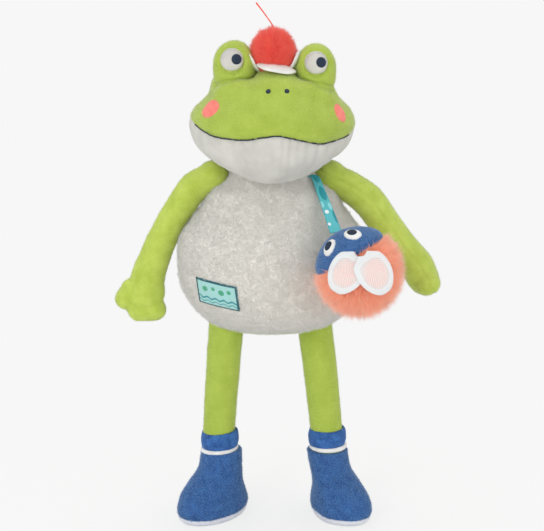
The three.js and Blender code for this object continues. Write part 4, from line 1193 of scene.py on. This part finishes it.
def leaf(name, centre, radius, pole, toward, start, end, half_width, sector, thickness, lift,
         tip=0.9, blunt=1.0, heel=0.05):
    """A sheet that follows a ball from near a pole towards one side, with a UV map over it."""
    pole, toward = np.array(pole, float), np.array(toward, float)
    side = unit(np.cross(pole, toward))
    share = np.linspace(0, 1, LEAF_STEPS + 1)[:, None]
    place = np.linspace(-1, 1, LEAF_ACROSS + 1)[None, :]
    tilt = start + (end - start) * share
    width = half_width * np.sin(math.pi * (heel + (tip - heel) * share)) ** blunt
    layers = []
    for outward in (-0.5, 0.5):
        edge = 1 - 0.9 * np.maximum(np.abs(place) ** 8, np.abs(2 * share - 1) ** 14)
        reach = radius + thickness * (0.5 + outward * edge) + lift * share**2
        spread = place * np.minimum(width / (reach * np.sin(tilt)), sector)
        level = toward * np.cos(spread)[..., None] + side * np.sin(spread)[..., None]
        layers.append(np.array(centre) + pole * (reach * np.cos(tilt))[..., None]
                      + level * (reach * np.sin(tilt))[..., None])
    return closed_sheet(name, *layers)


for label, turn, width, sector, opening in PETALS:
    turn = math.radians(turn)
    petal = leaf(f"petal_{label}_felt", ball_place, BALL + 0.3, (0, 0, -1), (math.sin(turn), -math.cos(turn), 0),
                 PETAL_FROM, PETAL_TO - opening, width, sector, FELT, opening * PETAL_LIFT)
    finished(petal, white_felt, "head", [f"petal_{label}"])

brim = leaf("petal_front_felt", ball_place - [BRIM_ASIDE, BRIM_AHEAD, BRIM_DOWN], BRIM_RADIUS,
            (math.sin(BRIM_ROLL), 0, math.cos(BRIM_ROLL)), (0, -1, 0), BRIM_FROM, BRIM_TO, BRIM_HALF,
            BRIM_SECTOR, FELT, 0)
finished(brim, white_felt, "head", ["petal_front"])

# %% [markdown]
# ## Label and ribbon
# The label is a small woven patch, sewn on by its edges. The ribbon leaves the seam of the neck,
# turns over and carries the fly. Both carry a plain printed pattern that follows the cloth, so it is
# drawn from the piece's own map.

# %% Label
LABEL_WIDE, LABEL_HIGH, LABEL_X, LABEL_Z, LABEL_TILT, LABEL_SHEAR = 27.5, 17.5, -36, 171.3, -0.12, 0.12
LABEL_PROUD, LABEL_EDGE, LABEL_THICK, LABEL_THREAD_PROUD = 1.3, 0.7, 0.5, 0.55
LABEL_COLUMNS, LABEL_ROWS = 34, 22
spots, ways = np.empty((2, LABEL_ROWS, LABEL_COLUMNS, 3))
for i, v in enumerate(np.linspace(-0.5, 0.5, LABEL_ROWS)):
    for j, u in enumerate(np.linspace(-0.5, 0.5, LABEL_COLUMNS)):
        x = LABEL_X + u * LABEL_WIDE * math.cos(LABEL_TILT) - v * LABEL_HIGH * LABEL_SHEAR
        z = LABEL_Z + u * LABEL_WIDE * math.sin(LABEL_TILT) + v * LABEL_HIGH * math.cos(LABEL_TILT)
        hit, normal = pear_surface.ray_cast(Vector((x, -200, z)), Vector((0, 1, 0)))[:2]
        spots[i, j] = hit + normal * (LABEL_PROUD - LABEL_EDGE * max(abs(u) * 2, abs(v) * 2) ** 8)
        ways[i, j] = normal

# %% [markdown]
# The label's face is woven, so it has no relief but its threads. Waves, dots and a border are masks
# worked out from the map, which stay sharp where a painted picture would blur.

# %% The woven face
DOTS, DOT_STRETCH = [(0.22, 0.66, 0.10), (0.42, 0.72, 0.07), (0.61, 0.64, 0.11), (0.8, 0.71, 0.08)], 2.47
WAVE_LONG, WAVE_HIGH, WAVE_MIDDLE, WARP_PITCH, WEFT_PITCH = 31.4, 0.035, 0.32, 0.5, 0.4


def together(spots):
    """One mask that shows every spot."""
    whole, *rest = spots
    for spot in rest:
        whole = whole.higher(spot)
    return whole


woven = Finish("woven_label")
u, v = woven.flat_map()
shape = LABEL_WIDE / LABEL_HIGH
edge = (abs(u - 0.5) * shape + (0.5 - 0.5 * shape)).higher(abs(v - 0.5))
crest = (u * WAVE_LONG).sine() * WAVE_HIGH + WAVE_MIDDLE
wave = abs(v - crest).between(0.045, 0.03)
ripple = abs(v - crest + 0.14).between(0.03, 0.02)
dots = together([((u - x) * (u - x) * DOT_STRETCH + (v - y) * (v - y)).root().between(r + 0.012, r - 0.012)
                 for x, y, r in DOTS])
weave = (u * (LABEL_WIDE / WARP_PITCH * math.pi)).sine() * (v * (LABEL_HIGH / WEFT_PITCH * math.pi)).sine()
colour = woven.blended(wave.higher(ripple * 0.8), "9fd0cc", "3d8f97")
colour = woven.blended(edge.between(0.425, 0.44), woven.blended(dots, colour, "4aa17e"), "1f6672")
woven.set(Base_Color=colour, Roughness=0.75)
woven.bump(weave * 0.5 + 0.5, 0.12)
label = closed_sheet("label_woven", spots, spots + ways * LABEL_THICK)
finished(label, woven.material, "torso", ["label"])
hem = [*spots[1, 1:-1], *spots[2:-1, -2], *spots[-2, -2:0:-1], *spots[-3:0:-1, 1]]
sewn("label_thread", np.array(hem) + ways[1, 1] * LABEL_THREAD_PROUD, length=1.5, thickness=0.4, slant=0.05,
     body="torso")

# %% [markdown]
# The ribbon is a free cord of flat section. Its line repeats the part's own: out from the seam of
# the neck, over a soft bend, and down to the top of the fly, where it is sewn in.

# %% Ribbon
RIBBON_WIDE, RIBBON_THICK, RIBBON_TURN, RIBBON_BELOW = 8.5, 0.9, math.radians(61), 3.7
ROOT_LONG, ROOT_RISE, RIBBON_BOW, RIBBON_TOP_SHARE, RIBBON_SKIN = 5, 0.6, 1.5, 0.68, 0.45
ROUTE_STEPS, ROUTE_BEND, ROUTE_ROUNDS = 60, 14, 6
FLY, FLY_MIDDLE, FLY_TILT, FLY_PITCH = 27.4, np.array([56.2, -69.5, 194.2]), math.radians(31), math.radians(9)
fly_across = np.array([math.cos(FLY_TILT), 0, math.sin(FLY_TILT)])
fly_up = np.array([-math.sin(FLY_TILT) * math.cos(FLY_PITCH), math.sin(FLY_PITCH),
                   math.cos(FLY_TILT) * math.cos(FLY_PITCH)])
fly_ahead = np.cross(fly_across, fly_up)

out = np.array([math.sin(RIBBON_TURN), -math.cos(RIBBON_TURN), 0])
neck = NECK_CORE + (TORSO_WIDE - NECK_CORE) * bell(1 - RIBBON_BELOW / TORSO_RISE)
leave = out * (neck + 0.3) + [0, 0, NECK_TOP - RIBBON_BELOW]
bend = leave + out * ROOT_LONG + [0, 0, ROOT_RISE]
knot = FLY_MIDDLE + unit(unit(bend - FLY_MIDDLE) + fly_up) * (FLY + 0.3 + RIBBON_THICK) - [1.5, 0, 0]
across = unit([bend[1] - knot[1], knot[0] - bend[0], 0])
rise = np.array([0, 0, RIBBON_BOW])
route = np.vstack([through([leave, (leave + bend) / 2 + rise, bend], ROUTE_BEND)[:-1],
                   through([bend, (bend + knot) / 2, knot - [0, 0, 0.8]], ROUTE_STEPS - ROUTE_BEND + 1)])
for _ in range(ROUTE_ROUNDS):
    route[1:-1] = (route[:-2] + 2 * route[1:-1] + route[2:]) / 4
steps = np.arange(ROUTE_STEPS)
turning = np.clip(steps / ROUTE_BEND, 0, 1)[:, None]
sideways = unit(np.array([-out[1], out[0], 0]) * (1 - turning) + across * turning)
facing = unit(np.cross(unit(np.gradient(route, axis=0)), sideways))[:, None]
u = np.linspace(-1, 1, 13)[None, :, None]
narrow = np.interp(steps, [0, ROUTE_BEND, ROUTE_STEPS - 1], [RIBBON_TOP_SHARE, RIBBON_TOP_SHARE, 1])
narrow = narrow[:, None, None]
spots = route[:, None] + sideways[:, None] * u * narrow * RIBBON_WIDE / 2 - facing * (
    RIBBON_THICK / 2 - 0.35 * (1 - u * u) - 0.5 * (1 - narrow) * np.cos(5 * u))
ribbon = closed_sheet("ribbon_printed", spots, spots + facing * RIBBON_SKIN)
length = np.linalg.norm(np.diff(route, axis=0), axis=1).sum()

# %% [markdown]
# The ribbon is printed with ovals and dots. They are measured in millimetres along its map, so they
# keep their shape where it bends, and a darker hem stands for the woven edge.

# %% The printed face
PRINT = {"1b95a0": [(0.2, 8, 4.4, 10), (0.6, 27, 2.9, 6), (3.4, 46, 1.4, 5)],
         "8fdbe0": [(2.6, 37.5, 1.5, 2.8), (-3.4, 36, 1.6, 2.6)],
         "eef3f5": [(-1.6, 42, 1.5, 1.5), (-2.8, 51.5, 1.1, 1.1)]}
printed = Finish("printed_ribbon")
u, v = printed.flat_map()
u, v = (u - 0.5) * RIBBON_WIDE, v * length


def oval(x, y, half_wide, half_long, soft=0.25):
    a, b = (u - x) / half_wide, (v - y) / half_long
    return (a * a + b * b).between(1 + soft, 1 - soft)


colour = "58bfc6"
for ink, ovals in PRINT.items():
    colour = printed.blended(together([oval(*sizes) for sizes in ovals]), colour, ink)
hem = abs(u).between(RIBBON_WIDE * 0.46, RIBBON_WIDE * 0.49)
printed.set(Base_Color=printed.blended(hem * 0.6, colour, "2f8f98"), Roughness=0.55)
printed.bump((v * 9.0).sine() * 0.5 + 0.5, 0.05)
finished(ribbon, printed.material, None, ["ribbon_root", "ribbon_drop"])
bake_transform(ribbon)
print("ribbon", round(length, 1), "mm long")

# %% [markdown]
# ## Fly
# The fly is a ball of long fur with a terry cap, two stitched eyes and a pair of net wings. It
# leans on the frog's side, so it is shaped upright and then turned about its middle.

# %% Cap and fur
CAP_RISE, CAP_EDGE, CAP_TUCK, CAP_THICK = 13.3, 3, 1.8, 1.5
COAT, COAT_GAP, FLUFF_SAG = FLY - 4.5, 1, 2.4
fly_turn = np.array([fly_across, -fly_ahead, fly_up])


def fly_ball(name, radius):
    return rounded(name, (0, 0, 0), (radius,) * 3, 144)


def put_on_fly(piece):
    put_points(piece, read(piece) @ fly_turn + FLY_MIDDLE)


def cap_press(points, normals):
    tuck = np.clip((CAP_RISE + 2 - points[:, 2]) / 5, 0, 1) ** 2
    return uneven(points, (0.5, 11, 41), (0.18, 2, 42)) - CAP_TUCK * tuck


cap = fly_ball("fly_cap_terry", FLY)
edited(cap.data, only(lambda c: c[:, 2] > CAP_RISE - CAP_EDGE))
press(cap, cap_press)
put_on_fly(cap)
cap_surface, nap = surface_of(cap), copied(cap)
thickened(cap, CAP_THICK)
blue_fibre = fibre("blue_fibre", "1c4a8c", "4a84c8", "7fb0e2")
# The fur's fibres glow: painted light that brightens the fur where its fibres shade each other.
fluff_fibre = fibre("fluff_fibre", "e2603c", "ff9e7a", "ffc2a6", 0.9, 0.26)
cap_pile = pile("fly_cap_pile", nap, "fly", blue_fibre, seed=6, density=5, length=1.1, width=0.2,
                lean=0.9, sway=0.5)

fluff_core, coat = fly_ball("fly_fluff_core", COAT), fly_ball("coat", COAT)
edited(coat.data, only(lambda c: c[:, 2] < (CAP_RISE - CAP_EDGE) * COAT / FLY - COAT_GAP))
for form in (fluff_core, coat):
    put_on_fly(form)
    press(form, lambda points, normals: FLUFF_SAG * np.clip(-normals[:, 2], 0, 1) ** 1.5)
fluff = pile("fly_fluff_fur", coat, "fly", fluff_fibre, seed=7, density=3.3, length=8.8,
             width=0.17, lean=0.42, sway=7.5, clump=0.2, joints=3, own=1.0)
discard(nap, coat)
orange_plush = pile_fabric("orange_plush", "f08a62", "fba680", 0.8, 0.4, 5, 0.3)
finished(fluff_core, orange_plush, "fly", ["fly_fluff", "fly_stuffing"])
finished(cap, blue_terry, "fly", ["fly_cap"])

# %% [markdown]
# The fly's eyes lie on the slope of its cap. Each is dropped on the cap along the ball's own radius
# and rolled until it stands upright on the fly, which leans.

# %% Fly's eyes
FLY_EYE_HALF, FLY_EYE_TALL, FLY_EYE_APART, FLY_EYE_SHIFT, FLY_EYE_AHEAD = 5.4, 7, 17, 0.3, 13.5
FLY_PUPIL_HALF, FLY_PUPIL_TALL, FLY_PUPIL_RISE = 3.3, 4.1, 0.4


def on_fly(aside, ahead):
    """The way from the fly's middle to a place on the front or top of its ball."""
    return unit(fly_across * aside + fly_ahead * ahead + fly_up * math.sqrt(FLY**2 - aside**2 - ahead**2))


def square_to(way, guide):
    """The part of a direction that lies level with the ball where way meets it."""
    return unit(guide - way * way.dot(guide))


fly_eyes = []
for side, label in SIDES:
    way = on_fly(FLY_EYE_SHIFT + side * FLY_EYE_APART / 2, FLY_EYE_AHEAD)
    up, level = square_to(way, fly_up), unit(np.cross((0, 0, 1), way))
    roll = math.atan2(np.dot(np.cross(level, np.cross(up, way)), way), np.dot(level, np.cross(up, way)))
    spot = FLY_MIDDLE + way * FLY
    white = patch(f"fly_eye_{label}_disc", cap_surface, spot, way, FLY_EYE_HALF, FLY_EYE_TALL,
                  dome(bulge=1.6, edge=0.6), rings=10, sides=40, roll=roll)
    pupil = patch(f"fly_pupil_{label}_stitched", surface_of(white), spot + up * FLY_PUPIL_RISE, way,
                  FLY_PUPIL_HALF, FLY_PUPIL_TALL, dome(bulge=0.5, edge=0.4), rings=7, sides=28, roll=roll)
    fly_eyes += [finished(white, white_felt, "fly", [f"fly_eye_{label}"]),
                 finished(pupil, navy_thread, "fly", [f"fly_pupil_{label}"])]

# %% [markdown]
# A wing is a net inside a solid white edge. The net's holes are cut by the material's Alpha from the
# wing's own map, at the pitch of fine tulle, because thousands of tiny holes would drown the mesh.

# %% Wings
WING_LONG, WING_HALF, WING_SPREAD, WING_LIFT, WING_THICK = 25, 13, math.radians(36), 3, 0.5
WING_OUT, WING_UP, WING_SECTOR, WING_OVER = 7.5, 10, math.radians(58), {-1: 1.2, 1: 0}
NET_PITCH = 1.5
net = Finish("wing_net")
u, v = net.flat_map()
rim_u, rim_v = abs(u - 0.5), abs(v - 0.5)
band = (rim_u * rim_u * rim_u + rim_v * rim_v * rim_v).between(0.012, 0.05)
warp, weft = u * (WING_HALF * 2 / NET_PITCH) * math.pi, v * (WING_LONG / NET_PITCH) * math.pi
threads = together([abs(slope.sine()).between(0.62, 0.42) for slope in (warp + weft, warp - weft)])
gauze = net.blended(band, "f3e6e2", "e6ebec")
# The net's emission is painted light: a faint glow of its own colour.
net.set(Base_Color=gauze, Roughness=0.6, Emission_Color=gauze, Emission_Strength=0.08,
        Alpha=(band * 0.78).higher(threads * 0.2 + 0.5))
net.bump(band * 0.6 + threads * 0.4, 0.15)

root = fly_across * WING_OUT + fly_up * WING_UP
root = unit(root + fly_ahead * math.sqrt(FLY**2 - root.dot(root)))
down = square_to(root, np.array([0, 0, -1.0]))
start = 0.25 * WING_HALF / FLY
for side, label in SIDES:
    turn = side * -WING_SPREAD
    toward = down * math.cos(turn) + np.cross(root, down) * math.sin(turn)
    wing = leaf(f"fly_wing_{label}_net", FLY_MIDDLE, FLY + 1.3 + WING_OVER[side], root, toward, start,
                start + WING_LONG / FLY, WING_HALF, WING_SECTOR, WING_THICK, WING_LIFT,
                tip=0.985, blunt=0.5, heel=0.015)
    finished(wing, net.material, "fly", [f"fly_wing_{label}"])

# %% [markdown]
# Last comes the nap of the covers. Fleece gets loose fibres of over two millimetres, velour and terry
# about one. A bump alone would be quicker, but it would leave every edge as hard as plastic, while
# real fibres soften the outline and catch the light there.

# %% Fleece, terry and velour's nap
# Both fibres glow a little: painted light that lightens the shade on the fleece and the velour.
cream_fibre = fibre("cream_fibre", "d8d4c9", "e9e6dd", "f5f3ec", 1.0, 0.07)
velour_fibre = fibre("velour_fibre", "adc24a", "c1d366", "cbdc78", 0.6, 0.14)
pile("torso_front_pile", torso_nap, "torso", cream_fibre, seed=8, density=1.7, length=2.6,
     width=0.22, lean=1.15, sway=3.2, clump=0.24, own=0.6)
for name, body, nap in naps:
    pile(f"{name}_nap", nap, body, velour_fibre, seed=10, density=1.5, length=1.1,
         width=0.11, lean=0.8, sway=0.9)
for label, upper in uppers.items():
    pile(f"boot_{label}_upper_pile", upper, f"leg_{label}", blue_fibre, seed=9,
         density=2.2, length=1.3, width=0.2, lean=0.9, sway=0.6)
discard(torso_nap, *uppers.values(), *(nap for _, _, nap in naps))

# %% [markdown]
# ## Floor and light
# The photograph has a plain pale ground without a horizon. The floor and the world are seen by the
# camera as the same pale grey, while the lamps stay at a plain level, so that a colour renders about
# as it is written. The floor keeps the soft shadow under the boots.

# %% Floor
PAPER, SHADOW_NEAR, SHADOW_FAR = linear("f7f7f7"), 0.1, 0.35
floor = from_faces("floor", [(-4, -4, 0), (4, -4, 0), (4, 6, 0), (-4, 6, 0)], [(0, 1, 2, 3)])
paper = Finish("paper")
paper.set(Base_Color=linear("f4f4f4"), Roughness=0.9)
seen = paper.node("ShaderNodeLightPath", {}, out="Is Camera Ray")
plain = paper.node("ShaderNodeEmission", {"Color": PAPER, "Strength": 1.0})
away = paper.node("ShaderNodeVectorMath", {0: paper.place}, out="Value", operation="LENGTH")
share = away.between(SHADOW_NEAR, SHADOW_FAR) * 0.25 + 0.75
shown = paper.node("ShaderNodeMixShader", {0: seen * share, 1: paper.shader.outputs[0], 2: plain})
feed(paper.tree, paper.tree.nodes["Material Output"].inputs["Surface"], shown)
floor.data.materials.append(paper.material)

# %% [markdown]
# Three round lamps stand for a soft studio: one from the front on the frog's right, a weaker one from
# its left and one from above and behind. The world fills the shadows.

# %% World and lamps
LAMPS_AIM = (0, 0, 0.18)
world = bpy.data.worlds.new("studio")
bpy.context.scene.world = world
world.use_nodes = True
sky = world.node_tree
soft = sky.nodes["Background"]
feed(sky, soft.inputs["Color"], (1, 1, 1, 1))
feed(sky, soft.inputs["Strength"], 0.84)
seen = add_node(sky, "ShaderNodeLightPath", {})["Is Camera Ray"]
pale = add_node(sky, "ShaderNodeBackground", {"Color": PAPER})[0]
mix = add_node(sky, "ShaderNodeMixShader", {0: seen, 1: soft.outputs[0], 2: pale})[0]
feed(sky, sky.nodes["World Output"].inputs["Surface"], mix)
for name, place, size, power in (("key", (-0.9, -1.5, 0.9), 1.0, 8), ("fill", (1.1, -1.3, 0.25), 1.2, 4),
                                 ("top", (0.1, 0.5, 1.7), 1.0, 5)):
    lamp = put_in_scene(name, bpy.data.lights.new(name, "AREA"))
    lamp.data.shape, lamp.data.size, lamp.data.energy = "DISK", size, power
    lamp.location = place
    look_at(lamp, LAMPS_AIM)
bpy.context.scene.view_settings.view_transform = "Standard"
print("pieces", len(made))
